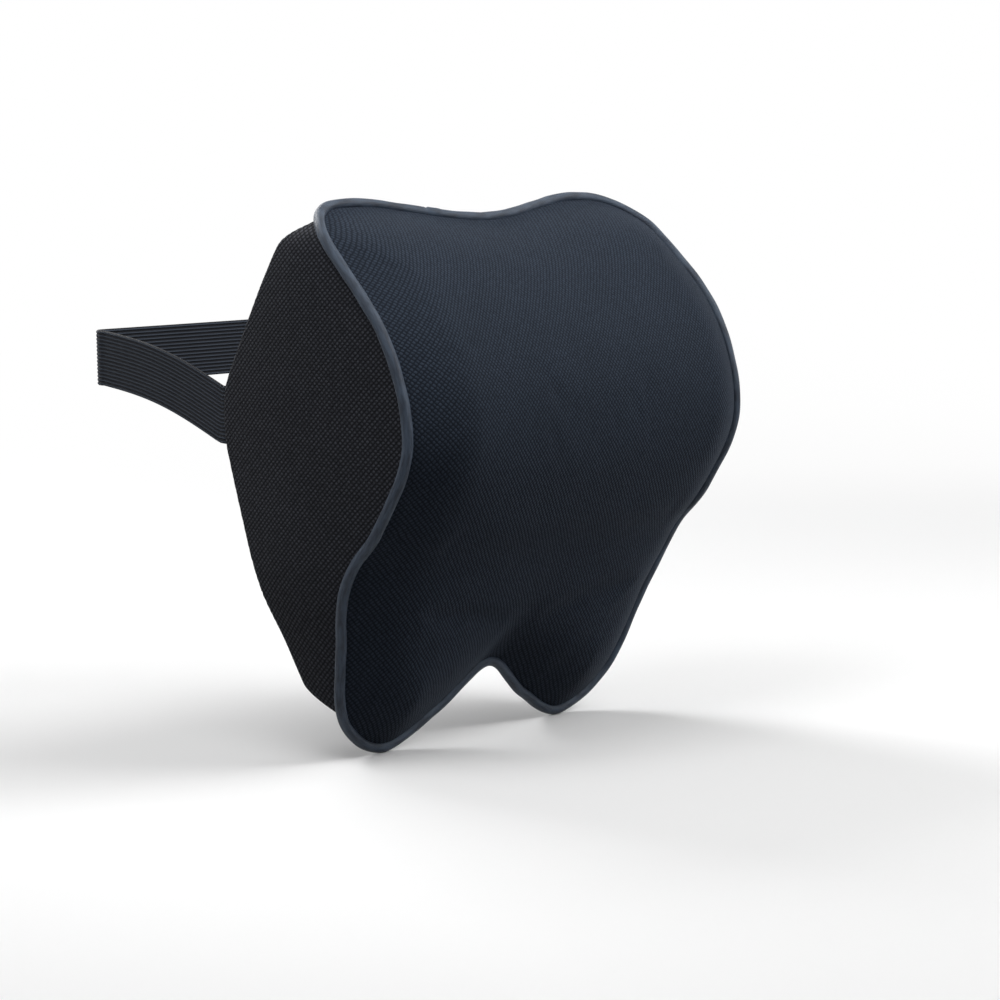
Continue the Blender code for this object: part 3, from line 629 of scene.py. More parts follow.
@dataclass(frozen=True)
class WedgeForm:
    """The cushion's outer form: the front outline, the seam's depth, the padding and the back.

    The outline's stations run down the right half, from the middle of the top to the notch
    between the lobes, as (x, z). The seam's stations are (z, depth in front of the strap).
    """

    outline: tuple = (
        (0.0, 0.0905),
        (0.082, 0.099),
        (0.116, 0.091),
        (0.125, 0.066),
        (0.1255, 0.0),
        (0.1235, -0.072),
        (0.114, -0.106),
        (0.100, -0.144),
        (0.068, -0.162),
        (0.034, -0.148),
        (0.0, -0.1275),
    )
    top_corner: float = 1.75
    foot_corner: float = 7.0
    seam: tuple = (
        (0.099, 0.061),
        (0.080, 0.084),
        (0.039, 0.119),
        (-0.009, 0.131),
        (-0.048, 0.112),
        (-0.080, 0.087),
        (-0.162, 0.058),
    )
    wing_x: float = 0.1255
    strip_height: float = 0.024
    strip_rounding: float = 0.006
    upper_angle: float = radians(32)
    lower_angle: float = radians(19)
    back_drop: float = 0.0025
    back_drop_reach: float = 0.018
    draft: float = 0.080
    crown: float = 0.017
    crown_reach: float = 0.036
    easing: float = 0.028
    side_crown: float = 0.005
    edge_rounding: float = 0.018
    corner_bulge: float = 0.25
    corner_reach: float = 0.12
    steps: int = 20

    @cached_property
    def loop(self) -> np.ndarray:
        """The whole outline as a closed line, clockwise from the middle of the top."""
        right = np.array(self.outline)
        left = right[-2:0:-1] * (-1.0, 1.0)
        return smooth_line(np.vstack([right, left]), self.steps, closed=True)

    @cached_property
    def seam_line(self) -> np.ndarray:
        """The seam seen from the side, as rising z and depth."""
        return smooth_line(np.array(self.seam), self.steps)[::-1]

    def inset_loop(self, inset: float) -> np.ndarray:
        """The outline moved inwards: each point goes along the inward normal (tz, -tx)."""
        ahead = np.roll(self.loop, -1, axis=0) - np.roll(self.loop, 1, axis=0)
        tangent = unit(ahead)
        return self.loop + inset * np.column_stack([tangent[:, 1], -tangent[:, 0]])

    def edges(self, inset: float, side_inset: float | None = None) -> dict[str, np.ndarray]:
        """The outline's four edges, each running right or down.

        Args:
            inset: how far the top and the bottom lie inside the outline.
            side_inset: the same for the sides, or None to share the first.

        Returns:
            The lines by the names top, bottom, left and right.
        """
        loop = self.inset_loop(inset)
        sides = loop if side_inset is None else self.inset_loop(side_inset)
        whole = len(loop)
        top, foot = (round(corner * self.steps) for corner in (self.top_corner, self.foot_corner))
        left_top, left_foot = whole - top, whole - foot
        return {
            "top": np.vstack([loop[left_top:], loop[: top + 1]]),
            "bottom": loop[foot : left_foot + 1][::-1],
            "right": sides[top : foot + 1],
            "left": sides[left_foot : left_top + 1][::-1],
        }

    def plan(self, u: np.ndarray, v: np.ndarray, edges: dict[str, np.ndarray]) -> np.ndarray:
        """Points inside the outline, as (x, z).

        Formula, a Coons patch: (1 - v) top(u) + v bottom(u) + (1 - u) left(v) + u right(v),
        less the blend of the four corners. The outline is smooth at the corners, so near
        each one, with a and b as shares from it, points move in by bulge a b / (a + b) times
        exp(-(a + b) / reach).

        Args:
            u: shares from left to right.
            v: shares from top to bottom.
            edges: the four edges.

        Returns:
            The points, with the shape of u and v together.
        """
        u, v = np.broadcast_arrays(u, v)
        top, bottom = at_shares(edges["top"], u), at_shares(edges["bottom"], u)
        left, right = at_shares(edges["left"], v), at_shares(edges["right"], v)
        u, v = u[..., None], v[..., None]
        upper = (1 - u) * edges["top"][0] + u * edges["top"][-1]
        lower = (1 - u) * edges["bottom"][0] + u * edges["bottom"][-1]
        corners = (1 - v) * upper + v * lower
        plan = (1 - v) * top + v * bottom + (1 - u) * left + u * right - corners
        for edge, b in (("top", v), ("bottom", 1 - v)):
            for corner, a in ((edges[edge][0], u), (edges[edge][-1], 1 - u)):
                share = a * b / (a + b + 1e-9) * np.exp(-(a + b) / self.corner_reach)
                plan = plan - self.corner_bulge * share * unit(corner)
        return plan

    def seam_y(self, z: np.ndarray) -> np.ndarray:
        """Y of the front seam at a height."""
        return -np.interp(z, self.seam_line[:, 0], self.seam_line[:, 1])

    def soft_ramp(self, run: np.ndarray) -> np.ndarray:
        """0 before 0 and the run after it, rounded: (t + sqrt(t^2 + r^2)) / 2."""
        return 0.5 * (run + np.sqrt(run**2 + self.strip_rounding**2))

    def back_y(self, z: np.ndarray) -> np.ndarray:
        """Y of the back at a height: a flat strip with a slanting face above and below."""
        half = 0.5 * self.strip_height
        return -tan(self.upper_angle) * self.soft_ramp(z - half) - tan(self.lower_angle) * self.soft_ramp(-half - z)

    def eased_y(self, z: np.ndarray) -> np.ndarray:
        """The seam's Y, eased over height: (y(z - h) + 4 y(z) + y(z + h)) / 6."""
        near = self.seam_y(z - self.easing) + self.seam_y(z + self.easing)
        return (near + 4 * self.seam_y(z)) / 6

    def lean(self, depth: np.ndarray) -> np.ndarray:
        """The share of its width that the cushion keeps this far behind the front seam."""
        return 1.0 - self.draft * depth / self.wing_x

    def front(self, plan: np.ndarray) -> np.ndarray:
        """The padded front: the seam's Y, less a crown and eased, both rising from the outline.

        Args:
            plan: points as (x, z).

        Returns:
            The points in three dimensions.
        """
        loop = np.vstack([self.loop, self.loop[:1]])
        share = rise(distance_to(loop, plan), self.crown_reach)
        z = plan[..., 1]
        seam = self.seam_y(z)
        depth = seam + (self.eased_y(z) - seam - self.crown) * share
        return np.stack([plan[..., 0], depth, z], axis=-1)

    def back(self, plan: np.ndarray) -> np.ndarray:
        """The back: it comes forward to the seam at the top and bottom, and drops at the sides."""
        edges = self.edges(0.0)
        to_side = np.minimum(distance_to(edges["left"], plan), distance_to(edges["right"], plan))
        to_rim = np.minimum(distance_to(edges["top"], plan), distance_to(edges["bottom"], plan))
        seam = self.seam_y(plan[..., 1])
        drop = self.back_drop * (1.0 - rise(to_side, self.back_drop_reach))
        depth = (self.back_y(plan[..., 1]) - seam - drop) * rise(to_rim, self.edge_rounding)
        return np.stack([plan[..., 0] * self.lean(depth), seam + depth, plan[..., 1]], axis=-1)


@dataclass
class ClothSwell:
    """How a panel swells when the foam presses into it from behind, as simulated cloth."""

    pressure: float
    cap: float
    rows: int
    columns: int

    def run(self, grid: np.ndarray, flip: bool) -> np.ndarray:
        """Simulates the panel, held all round its edge, and reads back how far it moved.

        Formula of the cap: move * cap / sqrt(cap^2 + |move|^2), which never exceeds it.

        Args:
            grid: rows by columns of points at rest.
            flip: whether the faces turn over, to point outwards.

        Returns:
            Rows by columns of movements.
        """
        mesh = grid_mesh("swelling", grid, grid[..., :2], flip)
        cloth = bpy.data.objects.new("swelling", mesh)
        bpy.context.scene.collection.objects.link(cloth)
        rows, columns = grid.shape[:2]
        index = np.arange(rows * columns).reshape(rows, columns)
        rim = np.unique(np.concatenate([index[0], index[-1], index[:, 0], index[:, -1]]))
        held = cloth.vertex_groups.new(name="held")
        held.add(rim.tolist(), 1.0, "REPLACE")
        modifier = cloth.modifiers.new("Cloth", "CLOTH")
        settings = modifier.settings
        settings.quality = 6
        settings.mass = 0.25
        settings.tension_stiffness = 20.0
        settings.compression_stiffness = 20.0
        settings.bending_stiffness = 2.0
        settings.vertex_group_mass = held.name
        settings.use_pressure = True
        settings.uniform_pressure_force = self.pressure
        settings.effector_weights.gravity = 0.0
        modifier.point_cache.frame_start = 1
        modifier.point_cache.frame_end = CLOTH_FRAMES
        scene = bpy.context.scene
        for number in range(1, CLOTH_FRAMES + 1):
            scene.frame_set(number)
        moved = np.empty(grid.size, np.float32)
        shown = cloth.evaluated_get(bpy.context.evaluated_depsgraph_get())
        shown.data.vertices.foreach_get("co", moved)
        bpy.data.objects.remove(cloth, do_unlink=True)
        bpy.data.meshes.remove(mesh)
        scene.frame_set(1)
        move = moved.reshape(grid.shape) - grid
        size = np.linalg.norm(move, axis=-1, keepdims=True)
        log.info("swell: up to %.1f mm before the cap", 1000 * size.max())
        return move * self.cap / np.sqrt(self.cap**2 + size**2)


@dataclass(frozen=True)
class Seam:
    """How a panel's edge is sewn: a roll down to the seam, puckers and the fold behind it.

    The fold's points are (outwards, down) from the edge, along the cloth and into the cushion.
    """

    width: float
    depth: float
    tuck: float
    fold: tuple
    pucker: float = 0.00012
    reach: float = 0.004
    stitch: float = 0.0034

    @property
    def rings(self) -> int:
        """How many rings of points the fold takes. The cord covers an edge without one."""
        return FOLD_RINGS if self.fold else 0

    def offsets(self, points: int, last: bool) -> np.ndarray:
        """The fold's (outwards, down) offset for each row or column of a grid.

        Args:
            points: how many rows or columns the grid has, with the rings.
            last: whether the fold is at the last ones instead of the first.

        Returns:
            Points by two, with 0 away from the fold.
        """
        line = np.array(((0.0, 0.0), *self.fold))
        if not self.fold:
            return np.zeros((points, 2))
        steps = at_shares(line, np.linspace(0.0, 1.0, self.rings + 1))
        offsets = steps[np.clip(self.rings - np.arange(points), 0, self.rings)]
        return offsets[::-1] if last else offsets

    def nearness(self, distance: np.ndarray) -> np.ndarray:
        """1 at the edge and 0 from the width inwards."""
        return np.clip(1.0 - distance / self.width, 0.0, 1.0)

    def sink(self, distance: np.ndarray, along: np.ndarray) -> np.ndarray:
        """How far the cloth sinks near the edge.

        Formula: depth (1 - sqrt(1 - g^2)), where g is 1 at the edge and 0 from the width
        inwards, plus pucker cos(2 pi s / stitch) exp(-d / reach).

        Args:
            distance: distances from the edge.
            along: lengths along the edge.

        Returns:
            The sinking of each point.
        """
        roll = self.depth * (1.0 - np.sqrt(1.0 - self.nearness(distance) ** 2))
        return roll + self.pucker * np.cos(2 * pi * along / self.stitch) * np.exp(-distance / self.reach)


def turned_hem(radius: float, flap: float, steps: int = 6) -> tuple:
    """The fold of a hem: half a circle under, and a flap back beneath the cloth."""
    turn = [pi * step / steps for step in range(1, steps + 1)]
    half_circle = [(radius * sin(a), radius * (1.0 - cos(a))) for a in turn]
    return (*half_circle, (-flap, 2 * radius))


CORD_SEAM = Seam(width=0.0022, depth=0.0004, tuck=0.0, fold=())
REAR_SEAM = Seam(width=0.0030, depth=0.0014, tuck=1.0, fold=((-0.0008, 0.0012), (-0.0012, 0.0020)))
ZIP_HEM = Seam(width=0.0020, depth=0.0002, tuck=0.0, fold=turned_hem(0.0008, 0.003), pucker=0.00005)


@dataclass
class CoverPanel:
    """A fabric panel of the cover. Its edges roll down into the seams that hold it.

    The seams stand in the order first row, last row, first column, last column.
    """

    form: WedgeForm
    name: str
    node: str
    slot: Slot
    finish: ClothFinish
    rows: int
    columns: int
    flip: bool
    swell: ClothSwell
    seams: tuple[Seam, Seam, Seam, Seam]
    thickness: float = 0.0008
    bunching: float = 0.65
    fold_fade: float = 0.010

    @property
    def border(self) -> tuple:
        """How many rings of points the folds add at each side of the grid."""
        first, last, left, right = (seam.rings for seam in self.seams)
        return ((first, last), (left, right), (0, 0))

    def surface(self, u: np.ndarray, v: np.ndarray) -> np.ndarray:
        """The panel's outer face at shares across and down it, before it is sewn."""
        raise NotImplementedError

    def weave(self, grid: np.ndarray) -> np.ndarray:
        """The UV map in metres, as the flat cloth lay."""
        raise NotImplementedError

    def sewn(self, grid: np.ndarray) -> np.ndarray:
        """The grid with its edges rolled into the seams, and the folds as rings around it.

        A fold shrinks to nothing where its seam runs in under the cord.

        Args:
            grid: rows by columns of points.

        Returns:
            The grid with the folds' rings on all four sides.
        """
        inward = grid_normals(grid) * (1.0 if self.flip else -1.0)
        across, down = grid_lengths(grid, 1), grid_lengths(grid, 0)
        right, below = unit(np.gradient(grid, axis=1)), unit(np.gradient(grid, axis=0))
        edges = (
            (down, across, below),
            (down[-1:] - down, across, -below),
            (across, down, right),
            (across[:, -1:] - across, down, -right),
        )
        near = np.stack([seam.nearness(edge[0]) for seam, edge in zip(self.seams, edges)])
        shared = near.max(axis=0) / np.maximum(near.sum(axis=0), 1e-6)
        moved = grid.copy()
        for seam, (distance, along, inside) in zip(self.seams, edges):
            way = unit(inward + seam.tuck * inside)
            moved += (shared * seam.sink(distance, along))[..., None] * way
        sewn, normal = np.pad(moved, self.border, mode="edge"), np.pad(inward, self.border, mode="edge")
        for number, (seam, (_, _, inside)) in enumerate(zip(self.seams, edges)):
            axis = number // 2
            offset = np.expand_dims(seam.offsets(sewn.shape[axis], number % 2 == 1), 1 - axis)
            fade = np.ones(grid.shape[:2])
            for beside in (2 - 2 * axis, 3 - 2 * axis):
                if not self.seams[beside].fold:
                    fade *= smoothstep(edges[beside][0] / self.fold_fade)
            offset = offset * np.pad(fade, self.border[:2], mode="edge")[..., None]
            sewn += offset[..., 1:] * normal - offset[..., :1] * np.pad(inside, self.border, mode="edge")
        return sewn

    def build(self) -> bpy.types.Object:
        """Builds the panel: surface, swell, seams, cloth thickness and finish."""
        u = bunched(self.columns, self.bunching)[None]
        v = bunched(self.rows, self.bunching)[:, None]
        even_u = np.linspace(0.0, 1.0, self.swell.columns)
        even_v = np.linspace(0.0, 1.0, self.swell.rows)
        grid = self.surface(u, v)
        coarse = self.surface(even_u[None], even_v[:, None])
        move = self.swell.run(coarse, self.flip)
        down = spline_weights(v[:, 0], self.swell.rows)
        across = spline_weights(u[0], self.swell.columns)
        grid = grid + np.moveaxis(down @ np.moveaxis(move, 2, 0) @ across.T, 0, 2)
        uv = np.pad(self.weave(grid), self.border, mode="edge")
        mesh = grid_mesh(self.name, self.sewn(grid), uv, self.flip)
        piece = add_piece(self.name, mesh, self.finish.material())
        cloth = piece.modifiers.new("Cloth thickness", "SOLIDIFY")
        cloth.thickness = self.thickness
        cloth.offset = -1.0
        settle(piece, Body.CUSHION.value, self.slot.value, self.node)
        return piece


@dataclass
class FrontPanel(CoverPanel):
    """The knitted front, from piping to piping."""

    inset: float = -0.0003

    def weave(self, grid: np.ndarray) -> np.ndarray:
        """X, and the length of the front's middle profile down to each height."""
        z = np.linspace(-0.18, 0.12, 400)
        profile = np.column_stack([self.form.eased_y(z), z])
        return np.stack([grid[..., 0], np.interp(grid[..., 2], z, lengths_along(profile))], axis=-1)

    def surface(self, u: np.ndarray, v: np.ndarray) -> np.ndarray:
        """The padded front over a plan whose edge lies inside the cord."""
        return self.form.front(self.form.plan(u, v, self.form.edges(self.inset)))


@dataclass
class SidePanel(CoverPanel):
    """One lens-shaped side, from the piping to the rear seam.

    Its rows run down the side, and its columns from the front to the back.
    """

    side: int = 1
    tip: float = 0.003

    def weave(self, grid: np.ndarray) -> np.ndarray:
        """The flat cloth as seen from the side: Y and Z."""
        return grid[..., 1:]

    def surface(self, u: np.ndarray, v: np.ndarray) -> np.ndarray:
        """The side, bowed outwards.

        Formula: the front edge and the back edge are blended by u, and X grows by
        bow * width / greatest width * sin(pi u).

        Args:
            u: shares from the front to the back.
            v: shares from the top to the bottom.

        Returns:
            Rows by columns of points.
        """
        edge = at_shares(self.form.edges(0.0)["right"], self.tip + (1.0 - 2.0 * self.tip) * v)
        front, back = self.form.front(edge), self.form.back(edge)
        width = np.linalg.norm(back - front, axis=-1)
        u = u[..., None]
        grid = front * (1.0 - u) + back * u
        bow = self.form.side_crown * width / width.max()
        grid[..., 0] += bow * np.sin(pi * u[..., 0])
        grid[..., 0] *= self.side
        return grid


class ZipSide(Enum):
    """Which side of the zip a back panel lies on."""

    ABOVE = 1
    BELOW = -1


@dataclass(frozen=True)
class ZipFrame:
    """The zip's place: X runs along it, Y out of the lower back face and Z up that face."""

    height: float = -0.085
    length: float = 0.180
    window: float = 0.012
    window_corner: float = 0.004
    parting: float = 0.0009
    fabric: float = 0.0018
    fit: float = 0.0003
    tape_width: float = 0.015
    tape_thickness: float = 0.0005
    chain_gap: float = 0.0010
    coil_width: float = 0.0024
    coil_height: float = 0.0014
    stop_length: float = 0.003

    def origin(self, form: WedgeForm) -> np.ndarray:
        """The zip's middle on the lower back face."""
        half = 0.5 * form.strip_height
        return np.array((0.0, -tan(form.lower_angle) * (-half - self.height), self.height))

    def axes(self, form: WedgeForm) -> np.ndarray:
        """The three unit axes as rows."""
        turn = form.lower_angle
        return np.array(((1.0, 0.0, 0.0), (0.0, cos(turn), -sin(turn)), (0.0, sin(turn), cos(turn))))

    def place(self, form: WedgeForm, points: np.ndarray) -> np.ndarray:
        """Points of the zip's own axes, put into the frame's."""
        return self.origin(form) + points @ self.axes(form)

    def hem(self, x: np.ndarray) -> np.ndarray:
        """Half the opening between the back panels at x: the window, closed beyond its ends."""
        end = 0.5 * self.length + 0.5 * self.window_corner
        share = smoothstep((end - np.abs(x)) / self.window_corner)
        return self.parting + (0.5 * self.window - self.parting) * share


@dataclass
class BackPanel(CoverPanel):
    """The back above or below the zip, from side seam to side seam."""

    zip_frame: ZipFrame = field(default_factory=ZipFrame)
    zip_side: ZipSide = ZipSide.ABOVE
    rim_inset: float = -0.0003
    search_rows: int = 240

    def weave(self, grid: np.ndarray) -> np.ndarray:
        """X, and the length of the back's plain profile up to each height.

        Where the back turns forward to the rim, the way forward is added to that length.

        Args:
            grid: rows by columns of points.

        Returns:
            Rows by columns of (u, v).
        """
        z = np.linspace(-0.18, 0.12, 400)
        length = lengths_along(np.column_stack([self.form.back_y(z), z]))
        forward = self.form.back_y(grid[..., 2]) - grid[..., 1]
        up = np.interp(grid[..., 2], z, length) + self.zip_side.value * forward
        return np.stack([grid[..., 0], up], axis=-1)

    def hem_share(self, u: np.ndarray, edges: dict[str, np.ndarray]) -> np.ndarray:
        """How far down the whole back the zip's hem lies, for each share across.

        Formula: the height above the zip's middle falls with the share v down the back. The
        hem is where that height equals the opening's, found by linear interpolation.

        Args:
            u: shares from left to right, in one row.
            edges: the back's four edges.

        Returns:
            One share for each value of u.
        """
        v = np.linspace(0.3, 1.0, self.search_rows)
        points = self.form.back(self.form.plan(u, v[:, None], edges))
        up = self.zip_frame.axes(self.form)[2]
        height = (points - self.zip_frame.origin(self.form)) @ up
        excess = height - self.zip_side.value * self.zip_frame.hem(points[..., 0])
        below = np.argmax(excess < 0.0, axis=0)
        column = np.arange(excess.shape[1])
        high, low = excess[below - 1, column], excess[below, column]
        return v[below - 1] + (v[below] - v[below - 1]) * high / (high - low)

    def surface(self, u: np.ndarray, v: np.ndarray) -> np.ndarray:
        """The back over the plan between its rim and the zip's hem."""
        edges = self.form.edges(self.rim_inset, 0.0)
        hem = self.hem_share(u, edges)
        down = v * hem if self.zip_side is ZipSide.ABOVE else hem + v * (1.0 - hem)
        return self.form.back(self.form.plan(u, down, edges))


@dataclass
class Piping:
    """The covered cord in the front seam, all the way round, with the join of its ends."""

    form: WedgeForm
    radius: float = 0.0026
    stand_off: float = 0.0008
    stations: int = 760
    sides: int = 24
    join_share: float = 0.961
    join_width: float = 0.0011
    join_step: float = 0.10
    join_crease: float = 0.22
    unevenness: float = 0.02

    def build(self) -> bpy.types.Object:
        """Builds the cord as a profile carried round the seam.

        Formula: at length s and angle a, the point is path(s) + r(s, a) (out cos a + side
        sin a). r is the radius, made uneven by two slow waves. At the join it steps up
        smoothly on one side, and a narrow bell takes it in for the crease.

        Returns:
            The piece.
        """
        loop = self.form.inset_loop(-self.stand_off)
        line = np.vstack([loop, loop[:1]])
        shares = np.linspace(0.0, 1.0, self.stations, endpoint=False)
        plan = at_shares(line, shares)
        path = np.stack([plan[:, 0], self.form.seam_y(plan[:, 1]), plan[:, 1]], axis=-1)
        tangent = unit(np.roll(path, -1, axis=0) - np.roll(path, 1, axis=0))
        out = np.column_stack([-tangent[:, 2], np.zeros(len(path)), tangent[:, 0]])
        out = unit(out - (out * tangent).sum(axis=1, keepdims=True) * tangent)
        beside = np.cross(tangent, out)
        length = lengths_along(np.vstack([path, path[:1]]))
        angle = np.linspace(0.0, 2 * pi, self.sides, endpoint=False)
        s = length[:-1, None]
        waves = np.sin(2 * pi * s / 0.019 + angle) + np.sin(2 * pi * s / 0.031 - 2 * angle)
        from_join = (shares[:, None] - self.join_share) * length[-1] / self.join_width
        lap = smoothstep(from_join + 1.0) * smoothstep(3.0 - from_join / 3.0)
        crease = np.exp(-((from_join + 0.6) ** 2) * 3.0)
        swell = 1.0 + self.unevenness * waves + self.join_step * lap - self.join_crease * crease
        around = np.cos(angle)[None, :, None] * out[:, None] + np.sin(angle)[None, :, None] * beside[:, None]
        grid = path[:, None] + self.radius * swell[..., None] * around
        grid = np.vstack([grid, grid[:1]])
        uv = np.stack(
            np.broadcast_arrays(length[:, None], self.radius * np.append(angle, 2 * pi)[None]), axis=-1
        )
        mesh = grid_mesh("front_piping_cord", grid, uv, flip=True, wrap=True)
        piece = add_piece("front_piping_cord", mesh, SatinFinish().material())
        weld = piece.modifiers.new("Closed loop", "WELD")
        weld.merge_threshold = 1e-6
        return settle(piece, Body.CUSHION.value, Slot.PIPING.value, "front_piping")


@dataclass
class Strap:
    """The ribbed elastic loop, sewn into the rear seams."""

    form: WedgeForm
    width: float = 0.028
    thickness: float = 0.0015
    reach: float = 0.118
    rise: float = 0.023
    half_span: float = 0.088
    bend_radius: float = 0.011
    bow: float = 0.004
    stand_off: float = 0.0010
    sewn_in: float = 0.004
    ribs: int = 15
    rib_steps: int = 8
    groove: float = 0.55
    hem: float = 0.0010
    stations: int = 220

    def path(self) -> np.ndarray:
        """The centre line, from the right rear seam round to the left one.

        Formula: two straight runs and a quarter circle at each rear corner. The height rises
        evenly along each run, plus bow * sin(pi * share).

        Returns:
            The points, evenly spaced.
        """
        side = self.form.edges(0.0)["right"]
        edge_x = np.interp(0.0, -side[:, 1], side[:, 0])
        edge_y = -self.form.back_drop
        start_x = edge_x * self.form.lean(edge_y - self.form.seam_y(np.array(0.0))) - self.thickness
        start = np.array((start_x, edge_y + self.stand_off))
        end = np.array((self.half_span, self.reach - self.bend_radius))
        share = np.linspace(0.0, 1.0, 60, endpoint=False)[:, None]
        run = start + (end - start) * share
        heading = unit(end - start)
        root = start - heading * self.sewn_in
        turn = np.linspace(0.0, 0.5 * pi, 24)[:, None]
        centre = end - (self.bend_radius, 0.0)
        bend = centre + self.bend_radius * np.hstack([np.cos(turn), np.sin(turn)])
        height = self.rise * share + self.bow * np.sin(pi * share)
        right = np.vstack(
            [
                np.hstack([root, 0.0]),
                np.hstack([run, height]),
                np.hstack([bend, np.full_like(turn, self.rise)]),
            ]
        )
        line = np.vstack([right, right[::-1] * (-1.0, 1.0, 1.0)])
        return at_shares(line, np.linspace(0.0, 1.0, self.stations))

    def build(self) -> bpy.types.Object:
        """Builds the webbing as a ribbed profile carried along the path.

        Formula: across the width w, half the thickness is t / 2 (1 - groove (2 q)^2), where
        q runs from -1/2 to 1/2 over each rib. It falls to nothing at both selvedges.

        Returns:
            The piece.
        """
        path = self.path()
        tangent = unit(np.gradient(path, axis=0))
        out = unit(np.cross(tangent, (0.0, 0.0, 1.0)))
        up = np.cross(out, tangent)
        w = np.linspace(-0.5, 0.5, self.ribs * self.rib_steps + 1)
        q = np.mod(w * self.ribs + 0.5 * self.ribs, 1.0) - 0.5
        edge = np.clip((0.5 - np.abs(w)) * self.width / self.hem, 0.0, 1.0)
        half = 0.5 * self.thickness * (1.0 - self.groove * (2 * q) ** 2) * np.sqrt(edge * (2.0 - edge))
        across = np.concatenate([w, w[-2:0:-1]]) * self.width
        depth = np.concatenate([half, -half[-2:0:-1]])
        grid = path[:, None] + across[None, :, None] * up[:, None] + depth[None, :, None] * out[:, None]
        ends = path[[0, -1], None] + across[None, :, None] * up[[0, -1], None]
        grid = np.vstack([ends[:1], grid, ends[1:]])
        length = lengths_along(grid[:, 0])
        around = np.append(across, across[0] + 1e-6)
        uv = np.stack(np.broadcast_arrays(length[:, None], around[None]), axis=-1)
        mesh = grid_mesh("elastic_loop", grid, uv, flip=False, wrap=True)
        piece = add_piece("elastic_loop", mesh, RibbedFinish(self.width / self.ribs).material())
        return settle(piece, Body.CUSHION.value, Slot.STRAP.value, "elastic_strap")


def rounded_block(low: tuple, high: tuple, squareness: float = 0.25, rings: int = 12, sides: int = 28) -> np.ndarray:
    """A box with soft edges, as a closed grid with a pole at each end of Y.

    Formula, a superellipsoid: x and z are half sizes times |cos a|^e times the signed powers of
    cos b and sin b, and y is half its size times the signed power of sin a.

    Args:
        low: the lowest corner.
        high: the highest corner.
        squareness: the power e, where a smaller one is squarer.
        rings: rows from pole to pole.
        sides: points round each row.

    Returns:
        Rows by columns of points, open where the last column meets the first.
    """

    def power(value: np.ndarray) -> np.ndarray:
        """The signed power."""
        return np.sign(value) * np.abs(value) ** squareness

    low, high = np.array(low), np.array(high)
    half, middle = 0.5 * (high - low), 0.5 * (low + high)
    a = np.linspace(-0.5 * pi, 0.5 * pi, rings)[:, None]
    b = np.linspace(0.0, 2 * pi, sides, endpoint=False)[None]
    shape = np.stack(
        np.broadcast_arrays(power(np.cos(a)) * power(np.cos(b)), power(np.sin(a)), power(np.cos(a)) * power(np.sin(b))),
        axis=-1,
    )
    return middle + half * shape


def joined(meshes: list[bpy.types.Mesh], name: str) -> bpy.types.Mesh:
    """One mesh that holds several, each of them closed by itself.

    Args:
        meshes: the meshes, which are removed.
        name: the new mesh's name.

    Returns:
        The mesh.
    """
    gathered = bmesh.new()
    for mesh in meshes:
        gathered.from_mesh(mesh)
    bmesh.ops.remove_doubles(gathered, verts=gathered.verts, dist=1e-7)
    bmesh.ops.recalc_face_normals(gathered, faces=gathered.faces)
    result = bpy.data.meshes.new(name)
    gathered.to_mesh(result)
    gathered.free()
    for mesh in meshes:
        bpy.data.meshes.remove(mesh)
    return result


